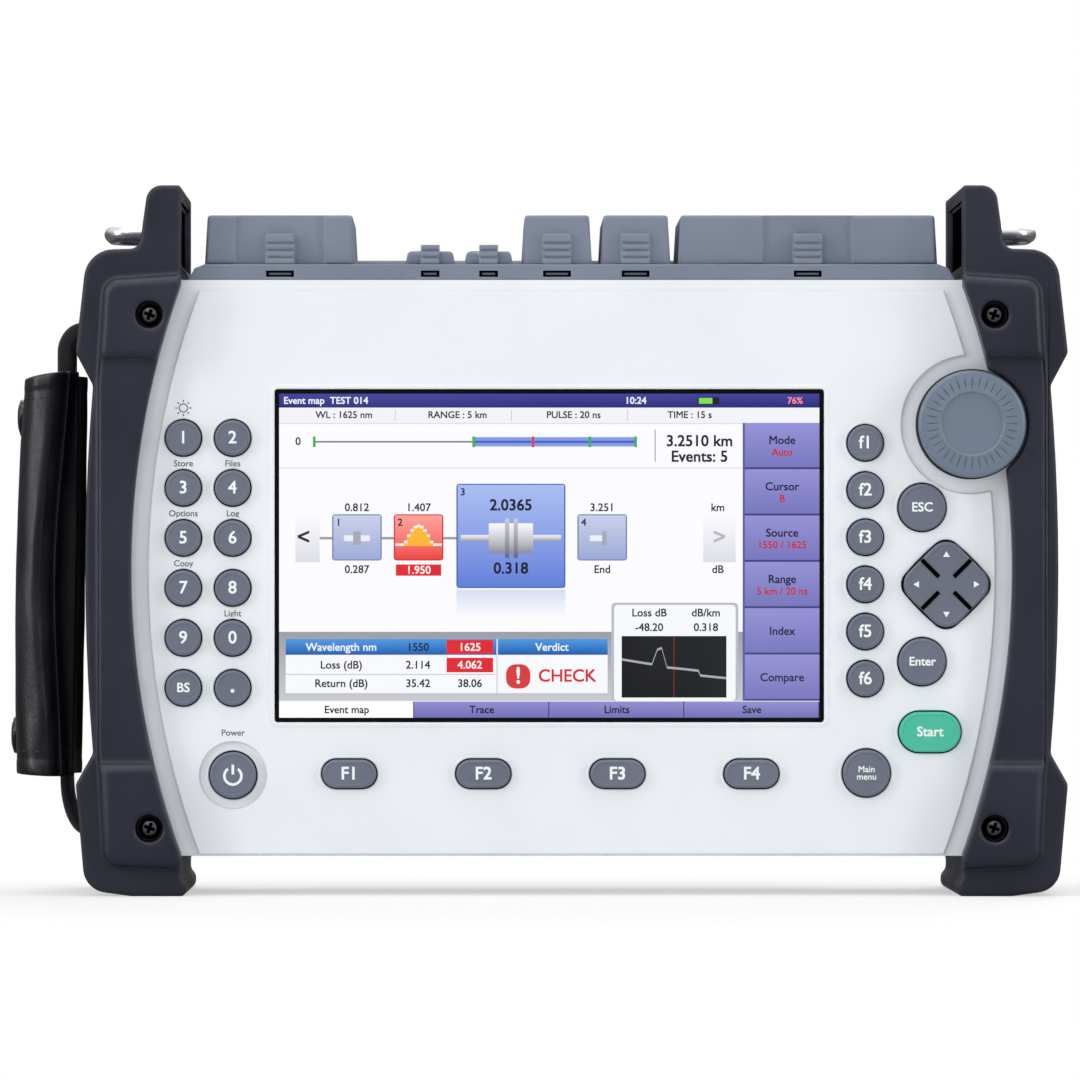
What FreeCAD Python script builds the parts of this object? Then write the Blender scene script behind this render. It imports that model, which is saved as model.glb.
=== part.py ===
import FreeCAD, Part
import os

import Sketcher
from FreeCAD import Vector

# Handheld optical time domain reflectometer, in millimetres.
# Every sub-part is drawn about the case's mid-plane: +X right, +Y from the front panel
# into the depth, +Z up from the feet. ORIGIN then moves all of them alike, so that the
# origin lies under the middle of the whole instrument.

SIZES = [
    # case
    ("case_width", 262.0),
    ("case_floor", 11.2),
    ("case_top", 173.7),
    ("case_depth", 61.0),
    ("wall", 2.6),
    ("case_corner", 4.0),
    ("split_depth", 14.6),
    ("gasket", 0.8),
    ("step", 0.8),
    ("zone_top", 170.6),
    ("zone_half_end", 105.0),
    ("zone_arc", 225.5),
    ("fit", 0.3),
    # display
    ("screen_x", -6.3),
    ("screen_z", 95.9),
    ("screen_width", 152.4),
    ("screen_height", 91.4),
    ("screen_border", 1.4),
    ("glass", 1.5),
    ("glass_inset", 0.5),
    ("module_border", 6.3),
    ("module_depth", 7.0),
    # keys
    ("key_proud", 1.5),
    ("key_travel", 0.8),
    ("key_gap", 0.6),
    ("key_lug", 1.1),
    ("key_edge", 0.5),
    ("small_key", 9.9),
    ("round_key", 13.2),
    ("power_key", 13.0),
    ("pad_left_x", -109.5),
    ("pad_right_x", -95.6),
    ("pad_top_z", 129.1),
    ("pad_pitch", 14.1),
    ("power_x", -95.5),
    ("power_z", 34.0),
    ("bar_first_x", -62.7),
    ("bar_pitch", 37.8),
    ("bar_z", 34.4),
    ("bar_length", 15.2),
    ("bar_height", 7.9),
    ("side_x", 82.8),
    ("side_top_z", 127.7),
    ("side_pitch", 13.3),
    ("escape_x", 98.8),
    ("escape_z", 109.5),
    ("enter_z", 66.0),
    ("menu_x", 83.1),
    ("menu_z", 34.6),
    ("start_x", 101.0),
    ("start_z", 46.2),
    ("start_length", 17.3),
    ("start_height", 11.3),
    ("arrow_x", 105.6),
    ("arrow_z", 87.8),
    ("arrow_half", 13.8),
    ("arrow_corner", 4.5),
    ("arrow_gap", 0.75),
    ("arrow_slit", 1.1),
    ("pivot_radius", 3.0),
    ("pivot_height", 1.6),
    ("board_front", 9.0),
    ("board", 1.6),
    # dial
    ("dial_x", 112.5),
    ("dial_z", 132.9),
    ("dial_radius", 15.1),
    ("dial_proud", 7.6),
    ("dial_disc", 8.8),
    ("dial_moat", 19.6),
    ("dial_gap", 0.9),
    ("shaft_radius", 3.0),
    ("shaft_play", 0.05),
    ("encoder_side", 12.0),
    # connector deck and its covers
    ("deck_thickness", 4.3),
    ("deck_half", 108.2),
    ("deck_front", 1.6),
    ("deck_depth", 56.4),
    ("cover_front", 3.6),
    ("cover_depth", 46.4),
    ("cover_skin", 1.8),
    ("cover_draft", 0.8),
    ("cover_gap", 0.3),
    ("hinge_out", 2.2),
    ("hinge_up", 2.3),
    ("hinge_radius", 1.7),
    ("rod_radius", 0.8),
    ("rod_play", 0.06),
    ("knuckle_inset", 2.0),
    ("tab_height", 8.4),
    ("low_tab_height", 5.4),
    ("tab_proud", 1.7),
    ("rib_pitch", 2.0),
    ("blade", 1.2),
    ("blade_reach", 3.6),
    ("power_cover_x", -82.3),
    ("power_cover_width", 42.6),
    ("tall_cover", 13.9),
    ("low_cover", 3.7),
    ("usb_cover_x", -39.9),
    ("usb_cover_width", 14.1),
    ("audio_cover_x", -23.4),
    ("audio_cover_width", 13.8),
    ("fibre_1_x", -4.1),
    ("fibre_2_x", 18.1),
    ("fibre_cover_width", 19.8),
    ("meter_cover_x", 66.7),
    ("meter_cover_width", 73.4),
    ("wide_tab", 7.9),
    ("narrow_tab", 5.3),
    ("cover_recess", 24.8),
    ("recess_depth", 1.0),
    # connectors
    ("port_y", 27.0),
    ("ferrule_bore", 1.26),
    ("adapter_radius", 4.0),
    ("adapter_flange", 5.6),
    ("adapter_height", 7.5),
    ("adapter_tail", 12.0),
    ("usb_x", -74.0),
    ("usb_pitch", 14.0),
    ("jack_x", -93.0),
    # corner bumpers
    ("horn_inner", 110.1),
    ("horn_top", 200.2),
    ("horn_tip", 9.2),
    ("horn_root", 11.7),
    ("shoulder_z", 182.0),
    ("shoulder_x", 136.5),
    ("corner_x", 139.7),
    ("corner_high_z", 153.0),
    ("corner_low_z", 31.5),
    ("waist_x", 134.8),
    ("waist_high_z", 143.8),
    ("waist_low_z", 40.2),
    ("waist_arc", 611.0),
    ("foot_x", 137.1),
    ("foot_flat_x", 124.0),
    ("foot_lip", 1.5),
    ("shoulder_round", 8.5),
    ("band_proud", 4.0),
    ("waist_proud", 5.0),
    ("pad_proud", 8.0),
    ("pad_round", 2.6),
    ("crease_high_z", 175.0),
    ("crease_low_z", 7.8),
    ("crease_x", 131.6),
    ("panel_arc", 235.5),
    ("panel_arc_high_z", 172.0),
    ("panel_arc_low_z", 12.0),
    ("screw_x", 118.8),
    ("screw_high_z", 163.6),
    ("screw_low_z", 19.2),
    ("screw_head", 2.5),
    ("screw_shank", 1.25),
    ("screw_length", 58.0),
    ("boss_half", 3.6),
    ("counterbore", 3.8),
    ("counterbore_depth", 5.0),
    # strap rings and hand strap
    ("ring_z", 187.8),
    ("ring_reach", 133.2),
    ("ring_wire", 2.2),
    ("ring_span", 22.0),
    ("ring_bend", 6.0),
    ("strap_y", 30.5),
    ("sleeve_reach", 155.7),
    ("sleeve_lean", 3.0),
    ("sleeve_thickness", 14.0),
    ("sleeve_edge", 2.4),
    ("sleeve_half", 29.5),
    ("sleeve_low_z", 33.4),
    ("sleeve_high_z", 148.2),
    ("sleeve_round", 5.5),
    ("webbing", 2.4),
    ("webbing_half", 12.5),
    ("webbing_drop", 8.0),
    ("anchor_depth", 4.0),
    ("anchor_z", 12.8),
    ("snap_radius", 5.3),
    ("snap_height", 2.2),
    ("snap_low_z", 44.8),
    ("snap_high_z", 135.6),
    # back
    ("stand_half", 75.0),
    ("stand_leg", 10.0),
    ("stand_foot_z", 12.4),
    ("stand_bar", 11.0),
    ("stand_hinge_z", 122.0),
    ("stand_thickness", 4.0),
    ("axle_radius", 2.0),
    ("axle_play", 0.05),
    ("ear", 4.0),
    ("door_half", 54.0),
    ("door_low_z", 30.0),
    ("door_high_z", 90.0),
    ("door", 2.0),
    ("rail_width", 3.0),
    ("rail_lip", 1.6),
    ("pack_half", 49.0),
    ("pack_low_z", 33.0),
    ("pack_high_z", 87.0),
    ("pack_depth", 22.0),
    ("main_board_y", 24.0),
    ("module_x", 55.0),
    ("module_width", 90.0),
    ("module_low_z", 98.0),
    ("module_high_z", 158.0),
    ("optics_depth", 20.0),
]


class Size:
    """A number of millimetres, with the expression over the sheet that gives it."""

    def __init__(self, number, text):
        self.number = float(number)
        self.text = text

    def __add__(self, other):
        other = as_size(other)
        return Size(self.number + other.number, f"({self.text} + {other.text})")

    def __sub__(self, other):
        other = as_size(other)
        return Size(self.number - other.number, f"({self.text} - {other.text})")

    def __mul__(self, factor):
        factor = as_size(factor)
        return Size(self.number * factor.number, f"({self.text} * {factor.text})")

    def __truediv__(self, divisor):
        divisor = as_size(divisor)
        return Size(self.number / divisor.number, f"({self.text} / {divisor.text})")

    def __radd__(self, other):
        return as_size(other) + self

    def __rsub__(self, other):
        return as_size(other) - self

    def __rmul__(self, factor):
        return as_size(factor) * self

    def __neg__(self):
        return Size(-self.number, f"(0 - {self.text})")


def as_size(value):
    """A plain number as a Size, or the Size itself."""
    if isinstance(value, Size):
        return value
    if value < 0:
        return Size(value, f"(0 - {-value})")
    return Size(value, str(value))


class Dimensions:
    """The driving dimensions, each one a Size named after its cell in the sheet."""

    def __init__(self, sheet, sizes):
        for row, (alias, number) in enumerate(sizes, start=1):
            sheet.set(f"A{row}", alias)
            sheet.set(f"B{row}", str(number))
            sheet.setAlias(f"B{row}", alias)
            setattr(self, alias, Size(number, f"dims.{alias}"))


document = FreeCAD.newDocument("reflectometer")
sheet = document.addObject("Spreadsheet::Sheet", "dims")
d = Dimensions(sheet, SIZES)
document.recompute()

# Places that several sub-parts share.
CASE_HALF = d.case_width / 2
INNER_FACE = d.step + d.wall
DECK_TOP = d.case_top + d.deck_thickness
COVER_BASE = DECK_TOP + d.cover_gap
COVER_BACK = d.cover_front + d.cover_depth
HINGE_Y = COVER_BACK + d.hinge_out
HINGE_Z = DECK_TOP + d.hinge_up
LUG_FRONT = INNER_FACE + 0.5
LUG_BACK = LUG_FRONT + 1.2
SWITCH_FRONT = LUG_BACK + d.key_travel + d.fit
BAND_BACK = d.case_depth + d.band_proud
PAD_BACK = d.case_depth + d.pad_proud
STAND_Y = d.case_depth + d.axle_radius + 0.6
DOOR_Y = d.case_depth + d.fit
ORIGIN_X = (d.sleeve_reach + d.snap_height - d.corner_x) / 2
ORIGIN_Y = -d.case_depth / 2

# Name, middle x, width, height, tab width and whether recessed, of each cover.
COVERS = [
    ("power_cover", d.power_cover_x, d.power_cover_width, d.tall_cover, d.wide_tab, True),
    ("usb_cover", d.usb_cover_x, d.usb_cover_width, d.low_cover, d.narrow_tab, False),
    ("audio_cover", d.audio_cover_x, d.audio_cover_width, d.low_cover, d.narrow_tab, False),
    ("fibre_cover_1", d.fibre_1_x, d.fibre_cover_width, d.tall_cover, d.wide_tab, False),
    ("fibre_cover_2", d.fibre_2_x, d.fibre_cover_width, d.tall_cover, d.wide_tab, False),
    ("meter_cover", d.meter_cover_x, d.meter_cover_width, d.tall_cover, d.wide_tab, True),
]
ADAPTERS = [d.fibre_1_x, d.fibre_2_x, d.meter_cover_x]
SCREW_HEIGHTS = [d.screw_low_z, d.screw_high_z]


# ---------------------------------------------------------------- drawing helpers

PLANES = {"front": "XZ_Plane", "top": "XY_Plane", "side": "YZ_Plane"}


def new_body(label, x=None, y=None, z=None):
    """A body, moved with all the others, and drawn about (x, y, z) where that is given."""
    body = document.addObject("PartDesign::Body", label)
    body.Label = label
    body.AllowCompound = True
    body.setExpression("Placement.Base.x", (ORIGIN_X + (x if x else 0)).text)
    body.setExpression("Placement.Base.y", (ORIGIN_Y + (y if y else 0)).text)
    if z:
        body.setExpression("Placement.Base.z", z.text)
    return body


class Drawing:
    """A sketch on one of a body's origin planes, moved along that plane's axis.

    "front" lies across Y, with X and Z in it; "top" across Z; "side" across X.
    """

    def __init__(self, body, plane, place=0):
        self.plane = plane
        self.sketch = body.newObject("Sketcher::SketchObject", f"{body.Name}_{plane}")
        role = PLANES[plane]
        feature = [item for item in body.Origin.OriginFeatures if item.Role == role][0]
        self.sketch.AttachmentSupport = [(feature, "")]
        self.sketch.MapMode = "FlatFace"
        place = as_size(place)
        offset = -place if plane == "front" else place
        self.sketch.AttachmentOffset.Base = Vector(0, 0, offset.number)
        self.sketch.setExpression("AttachmentOffset.Base.z", offset.text)

    def constrain(self, constraint, size):
        index = self.sketch.addConstraint(constraint)
        self.sketch.setExpression(f"Constraints[{index}]", size.text)

    def pin(self, geometry, end, x, y):
        """Hold one end, or the centre, of a curve at (x, y)."""
        for kind, size in (("DistanceX", x), ("DistanceY", y)):
            rule = Sketcher.Constraint(kind, -1, 1, geometry, end, size.number)
            self.constrain(rule, size)

    def circle(self, x, y, radius):
        x, y, radius = as_size(x), as_size(y), as_size(radius)
        curve = Part.Circle(Vector(x.number, y.number, 0), Vector(0, 0, 1), radius.number)
        index = self.sketch.addGeometry(curve)
        self.pin(index, 3, x, y)
        self.constrain(Sketcher.Constraint("Radius", index, radius.number), radius)
        return self

    def outline(self, points, arcs=None):
        """A closed line through points; arcs gives radius and side of a round stretch."""
        arcs = arcs or {}
        points = [(as_size(x), as_size(y)) for x, y in points]
        flat = [Vector(x.number, y.number, 0) for x, y in points]
        count = len(points)
        curves = []
        for index in range(count):
            start, end = flat[index], flat[(index + 1) % count]
            if index in arcs:
                radius, side = arcs[index]
                curves.append(self.add_arc(start, end, radius, side))
            else:
                curves.append(self.sketch.addGeometry(Part.LineSegment(start, end)))
        for index in range(count):
            following = (index + 1) % count
            joint = flat[following]
            ends = [self.end_at(curves[index], joint), self.end_at(curves[following], joint)]
            rule = Sketcher.Constraint("Coincident", curves[index], ends[0],
                                       curves[following], ends[1])
            self.sketch.addConstraint(rule)
            self.pin(curves[following], ends[1], *points[following])
        return self

    def add_arc(self, start, end, radius, side):
        chord = end - start
        rise = radius.number - (radius.number ** 2 - (chord.Length / 2) ** 2) ** 0.5
        sideways = Vector(chord.y, -chord.x, 0).normalize() * side * rise
        middle = (start + end) / 2 + sideways
        index = self.sketch.addGeometry(Part.Arc(start, middle, end))
        self.constrain(Sketcher.Constraint("Radius", index, radius.number), radius)
        return index

    def end_at(self, index, point):
        return 1 if (self.sketch.getPoint(index, 1) - point).Length < 1e-6 else 2

    def rectangle(self, left, right, low, high):
        return self.outline([(left, low), (right, low), (right, high), (left, high)])

    def square(self, x, y, half):
        return self.rectangle(x - half, x + half, y - half, y + half)

    def pill(self, x, y, length, height):
        """A slot with round ends, lying along the sketch's first axis."""
        radius = as_size(height) / 2
        left = x - length / 2 + radius
        right = x + length / 2 - radius
        corners = [(left, y - radius), (right, y - radius), (right, y + radius),
                   (left, y + radius)]
        return self.outline(corners, {1: (radius * 1.0001, 1), 3: (radius * 1.0001, 1)})

    def diamond(self, x, y, half, corner):
        """A square on its tip, with round corners and slightly bowed sides."""
        cut = corner * 0.7071
        inner = half - cut
        corners = [(x - inner, y + cut), (x - inner, y - cut), (x - cut, y - inner),
                   (x + cut, y - inner), (x + inner, y - cut), (x + inner, y + cut),
                   (x + cut, y + inner), (x - cut, y + inner)]
        radii = [corner, half * 4.5] * 4
        return self.outline(corners, {index: (radius, 1)
                                      for index, radius in enumerate(radii)})


def grow(body, drawing, length):
    """Pad a drawing along the axis across its plane, in the positive direction."""
    feature = body.newObject("PartDesign::Pad", f"{body.Name}_pad")
    feature.Profile = drawing.sketch
    feature.Reversed = drawing.plane == "front"
    feature.setExpression("Length", as_size(length).text)
    return feature


def carve(body, drawing, length):
    """Pocket a drawing along the axis across its plane, in the positive direction."""
    feature = body.newObject("PartDesign::Pocket", f"{body.Name}_pocket")
    feature.Profile = drawing.sketch
    feature.Reversed = drawing.plane != "front"
    feature.setExpression("Length", as_size(length).text)
    return feature


def front_box(body, left, right, low, high, front, depth):
    return grow(body, Drawing(body, "front", front).rectangle(left, right, low, high), depth)


def front_pocket(body, left, right, low, high, front, depth):
    return carve(body, Drawing(body, "front", front).rectangle(left, right, low, high), depth)


def dress(body, kind, size, chosen):
    """Fillet or chamfer the edges of the body for which chosen(edge) is true."""
    document.recompute()
    base = body.Tip
    names = [f"Edge{number}" for number, edge in enumerate(base.Shape.Edges, start=1)
             if chosen(edge)]
    feature = body.newObject(f"PartDesign::{kind}", f"{body.Name}_{kind.lower()}")
    feature.Base = (base, names)
    cell = "Radius" if kind == "Fillet" else "Size"
    feature.setExpression(cell, as_size(size).text)
    return feature


def along_y_at(points, reach=0.05):
    """Chooser of the edges along Y that stand on one of the given (x, z) points."""
    def chosen(edge):
        box = edge.BoundBox
        if box.YLength < 0.5 or box.XLength > reach or box.ZLength > reach:
            return False
        return any(abs(box.XMin - x.number) < reach and abs(box.ZMin - z.number) < reach
                   for x, z in points)
    return chosen


def in_plane_y(y, reach=0.01):
    """Chooser of the edges that lie wholly in the plane at depth y."""
    def chosen(edge):
        box = edge.BoundBox
        return abs(box.YMin - y.number) < reach and abs(box.YMax - y.number) < reach
    return chosen


# ---------------------------------------------------------------- keys

def key_places():
    """Name, x, z and outline of every key on the panel."""
    digits = ["1", "2", "3", "4", "5", "6", "7", "8", "9", "0", "back", "dot"]
    places = []
    for index, digit in enumerate(digits):
        x = d.pad_right_x if index % 2 else d.pad_left_x
        z = d.pad_top_z - d.pad_pitch * (index // 2)
        places.append((f"key_{digit}", x, z, "round", d.small_key, None))
    places.append(("key_power", d.power_x, d.power_z, "round", d.power_key, None))
    for index in range(4):
        x = d.bar_first_x + d.bar_pitch * index
        places.append((f"key_F{index + 1}", x, d.bar_z, "pill", d.bar_length, d.bar_height))
    for index in range(6):
        z = d.side_top_z - d.side_pitch * index
        places.append((f"key_side_{index + 1}", d.side_x, z, "round", d.small_key, None))
    places.append(("key_escape", d.escape_x, d.escape_z, "round", d.round_key, None))
    places.append(("key_enter", d.escape_x, d.enter_z, "round", d.round_key, None))
    places.append(("key_menu", d.menu_x, d.menu_z, "round", d.round_key, None))
    places.append(("key_start", d.start_x, d.start_z, "pill", d.start_length, d.start_height))
    return places


def build_key(name, x, z, form, width, height):
    """A cap that slides in its hole, with a square lug that keeps it behind the panel."""
    body = new_body(name, x=x, z=z)
    cap = Drawing(body, "front", -d.key_proud)
    if form == "round":
        cap.circle(0, 0, width / 2)
        height = width
    else:
        cap.pill(as_size(0), as_size(0), width, height)
    grow(body, cap, LUG_FRONT + d.key_proud)
    half = width / 2 + d.key_lug
    rise = height / 2 + d.key_lug
    front_box(body, -half, half, -rise, rise, LUG_FRONT, LUG_BACK - LUG_FRONT)
    return body


def build_arrow_pad():
    body = new_body("arrow_pad", x=d.arrow_x, z=d.arrow_z)
    half = d.arrow_half
    plate = Drawing(body, "front", -d.key_proud).diamond(0, 0, half, d.arrow_corner)
    grow(body, plate, LUG_BACK + d.key_proud)
    dress(body, "Chamfer", d.key_edge, in_plane_y(-d.key_proud))
    slits = Drawing(body, "front", -d.key_proud)
    near = half * 0.2
    far = half * 0.55
    wide = d.arrow_slit * 0.35
    for across in (-1, 1):
        for up in (-1, 1):
            slits.outline([
                (across * (near + wide), up * (near - wide)),
                (across * (far + wide), up * (far - wide)),
                (across * (far - wide), up * (far + wide)),
                (across * (near - wide), up * (near + wide)),
            ])
    carve(body, slits, 0.7)


def build_arrow_pivot():
    """Cross of two pins, between the arrow pad and its post on the key board."""
    body = new_body("arrow_pad_pivot", x=d.arrow_x, z=d.arrow_z)
    middle = LUG_BACK + d.fit + d.pivot_height / 2
    reach = d.pivot_radius
    level = Drawing(body, "side", -reach).circle(middle, 0, d.pivot_height / 2)
    grow(body, level, 2 * reach)
    upright = Drawing(body, "top", -reach).circle(0, middle, d.pivot_height / 2)
    grow(body, upright, 2 * reach)


def build_key_board():
    """Circuit board round the display, with a switch under every key."""
    body = new_body("key_board")
    half = CASE_HALF - d.wall - 6
    low = d.case_floor + 13
    high = d.case_top - 16
    front_box(body, -half, half, low, high, d.board_front, d.board)
    module_half = d.screen_width / 2 + d.module_border + 1
    module_low = d.screen_z - d.screen_height / 2 - d.module_border - 1
    front_pocket(body, d.screen_x - module_half, d.screen_x + module_half, module_low,
                 high + 1, d.board_front, d.board)
    switches = Drawing(body, "front", SWITCH_FRONT)
    side = 2.4
    for name, x, z, form, width, height in key_places():
        switches.rectangle(x - side, x + side, z - side, z + side)
    for across, up in ((-1, 0), (1, 0), (0, -1), (0, 1)):
        x = d.arrow_x + across * 7.5
        z = d.arrow_z + up * 7.5
        switches.rectangle(x - 1.5, x + 1.5, z - 1.5, z + 1.5)
    grow(body, switches, d.board_front - SWITCH_FRONT)
    post_front = LUG_BACK + d.fit + d.pivot_height + d.fit
    post = Drawing(body, "front", post_front).circle(d.arrow_x, d.arrow_z, 2.0)
    grow(body, post, d.board_front - post_front)


# ---------------------------------------------------------------- dial

def build_dial_knob():
    """Turned knob with its shaft, drawn as a half profile about the Y axis."""
    body = new_body("dial_knob", x=d.dial_x, z=d.dial_z)
    edge = d.dial_radius
    back = d.step - 0.2
    shaft_end = INNER_FACE + 4.6
    profile = Drawing(body, "top")
    profile.outline([
        (0, -d.dial_proud + 0.5),
        (d.dial_disc - 0.6, -d.dial_proud + 0.5),
        (d.dial_disc, -d.dial_proud),
        (edge - 1.6, -d.dial_proud + 1.0),
        (edge - 0.4, -d.dial_proud + 2.2),
        (edge, -d.dial_proud + 3.6),
        (edge, back),
        (d.shaft_radius, back),
        (d.shaft_radius, shaft_end),
        (0, shaft_end),
    ])
    turned = body.newObject("PartDesign::Revolution", "dial_knob_turned")
    turned.Profile = profile.sketch
    turned.ReferenceAxis = (profile.sketch, ["V_Axis"])
    turned.Angle = 360


def build_dial_encoder():
    body = new_body("dial_encoder", x=d.dial_x, z=d.dial_z)
    half = d.encoder_side / 2
    front = INNER_FACE + 0.1
    depth = d.board_front - 0.1 - front
    front_box(body, -half, half, -half, half, front, depth)
    bore = Drawing(body, "front", front).circle(0, 0, d.shaft_radius + d.shaft_play)
    carve(body, bore, depth)


# ---------------------------------------------------------------- case

def draw_panel_zone(drawing):
    """Raised centre of the panel: straight top and foot, bowed sides."""
    half = d.zone_half_end
    low = d.case_floor + 0.6
    drawing.outline([(-half, low), (half, low), (half, d.zone_top), (-half, d.zone_top)],
                    {1: (d.zone_arc, 1), 3: (d.zone_arc, 1)})
    return drawing


def build_front_panel():
    body = new_body("front_panel")
    low, high = d.case_floor, d.case_top
    front_box(body, -CASE_HALF, CASE_HALF, low, high, d.step, d.split_depth - d.step)
    corners = [(side * CASE_HALF, z) for side in (-1, 1) for z in (low, high)]
    dress(body, "Fillet", d.case_corner, along_y_at(corners))
    grow(body, draw_panel_zone(Drawing(body, "front")), d.step + 0.5)
    inner = CASE_HALF - d.wall
    front_pocket(body, -inner, inner, low + d.wall, high - d.wall, INNER_FACE,
                 d.split_depth - INNER_FACE)
    bosses = Drawing(body, "front", INNER_FACE)
    for side in (-1, 1):
        for z in SCREW_HEIGHTS:
            bosses.square(side * d.screw_x, z, d.boss_half)
    grow(body, bosses, d.split_depth - INNER_FACE)
    stops = Drawing(body, "front", INNER_FACE)
    for side in (-1, 1):
        for z in (d.case_floor + 29, d.case_top - 24):
            stops.square(side * (d.screw_x + 1.5), z, 2.5)
    grow(body, stops, d.board_front - INNER_FACE)
    carve_display(body)
    carve_key_holes(body)
    holes = Drawing(body, "front", d.step)
    for side in (-1, 1):
        for z in SCREW_HEIGHTS:
            holes.circle(side * d.screw_x, z, d.screw_shank + 0.3)
    carve(body, holes, d.split_depth - d.step)


def carve_display(body):
    half = d.screen_width / 2 + d.screen_border
    rise = d.screen_height / 2 + d.screen_border
    left, right = d.screen_x - half, d.screen_x + half
    low, high = d.screen_z - rise, d.screen_z + rise
    front_pocket(body, left, right, low, high, 0, d.glass_inset + d.glass + 0.2)
    lip = d.screen_border - 0.6
    front_pocket(body, left + lip, right - lip, low + lip, high - lip, d.glass_inset,
                 INNER_FACE - d.glass_inset)


def carve_key_holes(body):
    moats = Drawing(body, "front")
    moats.circle(d.dial_x, d.dial_z, d.dial_moat)
    moats.circle(d.power_x, d.power_z, d.power_key / 2 + 3)
    carve(body, moats, d.step)
    holes = Drawing(body, "front")
    for name, x, z, form, width, height in key_places():
        if form == "round":
            holes.circle(x, z, width / 2 + d.key_gap)
        else:
            holes.pill(x, z, width + 2 * d.key_gap, height + 2 * d.key_gap)
    holes.circle(d.dial_x, d.dial_z, d.shaft_radius + 0.4)
    carve(body, holes, INNER_FACE + 0.1)
    well_half = d.arrow_half + d.arrow_gap
    well = Drawing(body, "front").diamond(d.arrow_x, d.arrow_z, well_half, d.arrow_corner)
    carve(body, well, INNER_FACE)


def build_gasket():
    body = new_body("case_gasket")
    low, high = d.case_floor, d.case_top
    front_box(body, -CASE_HALF + 0.5, CASE_HALF - 0.5, low + 0.5, high - 0.5, d.split_depth,
              d.gasket)
    inner = CASE_HALF - d.wall
    front_pocket(body, -inner, inner, low + d.wall, high - d.wall, d.split_depth, d.gasket)


def build_rear_case():
    body = new_body("rear_case")
    low, high = d.case_floor, d.case_top
    front = d.split_depth + d.gasket
    floor_y = d.case_depth - d.wall
    inner = CASE_HALF - d.wall
    front_box(body, -CASE_HALF, CASE_HALF, low, high, front, d.case_depth - front)
    corners = [(side * CASE_HALF, z) for side in (-1, 1) for z in (low, high)]
    dress(body, "Fillet", d.case_corner, along_y_at(corners))
    dress(body, "Chamfer", 1.2, in_plane_y(d.case_depth))
    front_pocket(body, -inner, inner, low + d.wall, high - d.wall, front, floor_y - front)
    # battery bay
    bay_wall = 2.0
    half = d.pack_half + d.fit
    bay_low, bay_high = d.pack_low_z - d.fit, d.pack_high_z + d.fit
    bay_front = d.case_depth - d.pack_depth - 1
    front_box(body, -half - bay_wall, half + bay_wall, bay_low - bay_wall,
              bay_high + bay_wall, bay_front - bay_wall, floor_y - bay_front + bay_wall)
    front_pocket(body, -half, half, bay_low, bay_high, bay_front, d.case_depth - bay_front)
    # bosses: case screws, and the main board
    bosses = Drawing(body, "front", front)
    for side in (-1, 1):
        for z in SCREW_HEIGHTS:
            bosses.square(side * d.screw_x, z, d.boss_half)
    grow(body, bosses, floor_y - front)
    posts = Drawing(body, "front", d.main_board_y + d.board)
    for side in (-1, 1):
        for z in (d.module_low_z, d.module_high_z - 6):
            posts.square(side * 112, z, 3.0)
    grow(body, posts, floor_y - d.main_board_y - d.board)
    holes = Drawing(body, "front", front)
    for side in (-1, 1):
        for z in SCREW_HEIGHTS:
            holes.circle(side * d.screw_x, z, d.screw_shank + d.shaft_play)
    carve(body, holes, floor_y - front)
    # way up through the top wall for the connectors
    way = Drawing(body, "top", high - d.wall)
    way.rectangle(-d.deck_half + 4, d.deck_half - 4, front + 0.7, 46)
    carve(body, way, d.wall)
    add_back_fittings(body)


def add_back_fittings(body):
    """Ears for the tilt stand's axles, and the lipped rails that hold the battery door."""
    ears = Drawing(body, "front", d.case_depth)
    gap = 0.4
    for side in (-1, 1):
        near = side * (d.stand_half + gap)
        far = side * (d.stand_half + gap + d.ear)
        reach = d.axle_radius + 1.6
        low, high = d.stand_hinge_z - reach, d.stand_hinge_z + reach
        ears.outline([(near, low), (far, low), (far, high), (near, high)])
    grow(body, ears, STAND_Y - d.case_depth + d.axle_radius + 1.0)
    left = -(d.stand_half + gap + d.ear)
    bore = Drawing(body, "side", left)
    bore.circle(STAND_Y, d.stand_hinge_z, d.axle_radius + d.axle_play)
    carve(body, bore, -2 * left)
    door_back = DOOR_Y + d.door
    inner = d.door_half + d.fit
    for side in (-1, 1):
        post = Drawing(body, "front", d.case_depth)
        low, high = d.door_low_z - 3, d.door_high_z
        post.outline([(side * inner, low), (side * (inner + d.rail_width), low),
                      (side * (inner + d.rail_width), high), (side * inner, high)])
        grow(body, post, door_back + d.fit - d.case_depth + 0.1)
        lip = Drawing(body, "front", door_back + d.fit)
        lip.outline([(side * (inner - d.rail_lip), low),
                     (side * (inner + d.rail_width), low),
                     (side * (inner + d.rail_width), high),
                     (side * (inner - d.rail_lip), high)])
        grow(body, lip, 1.0)
    front_box(body, -inner - 1, inner + 1, d.door_low_z - 3, d.door_low_z - d.fit,
              d.case_depth, door_back - d.case_depth)


# ---------------------------------------------------------------- connector deck and covers

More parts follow.
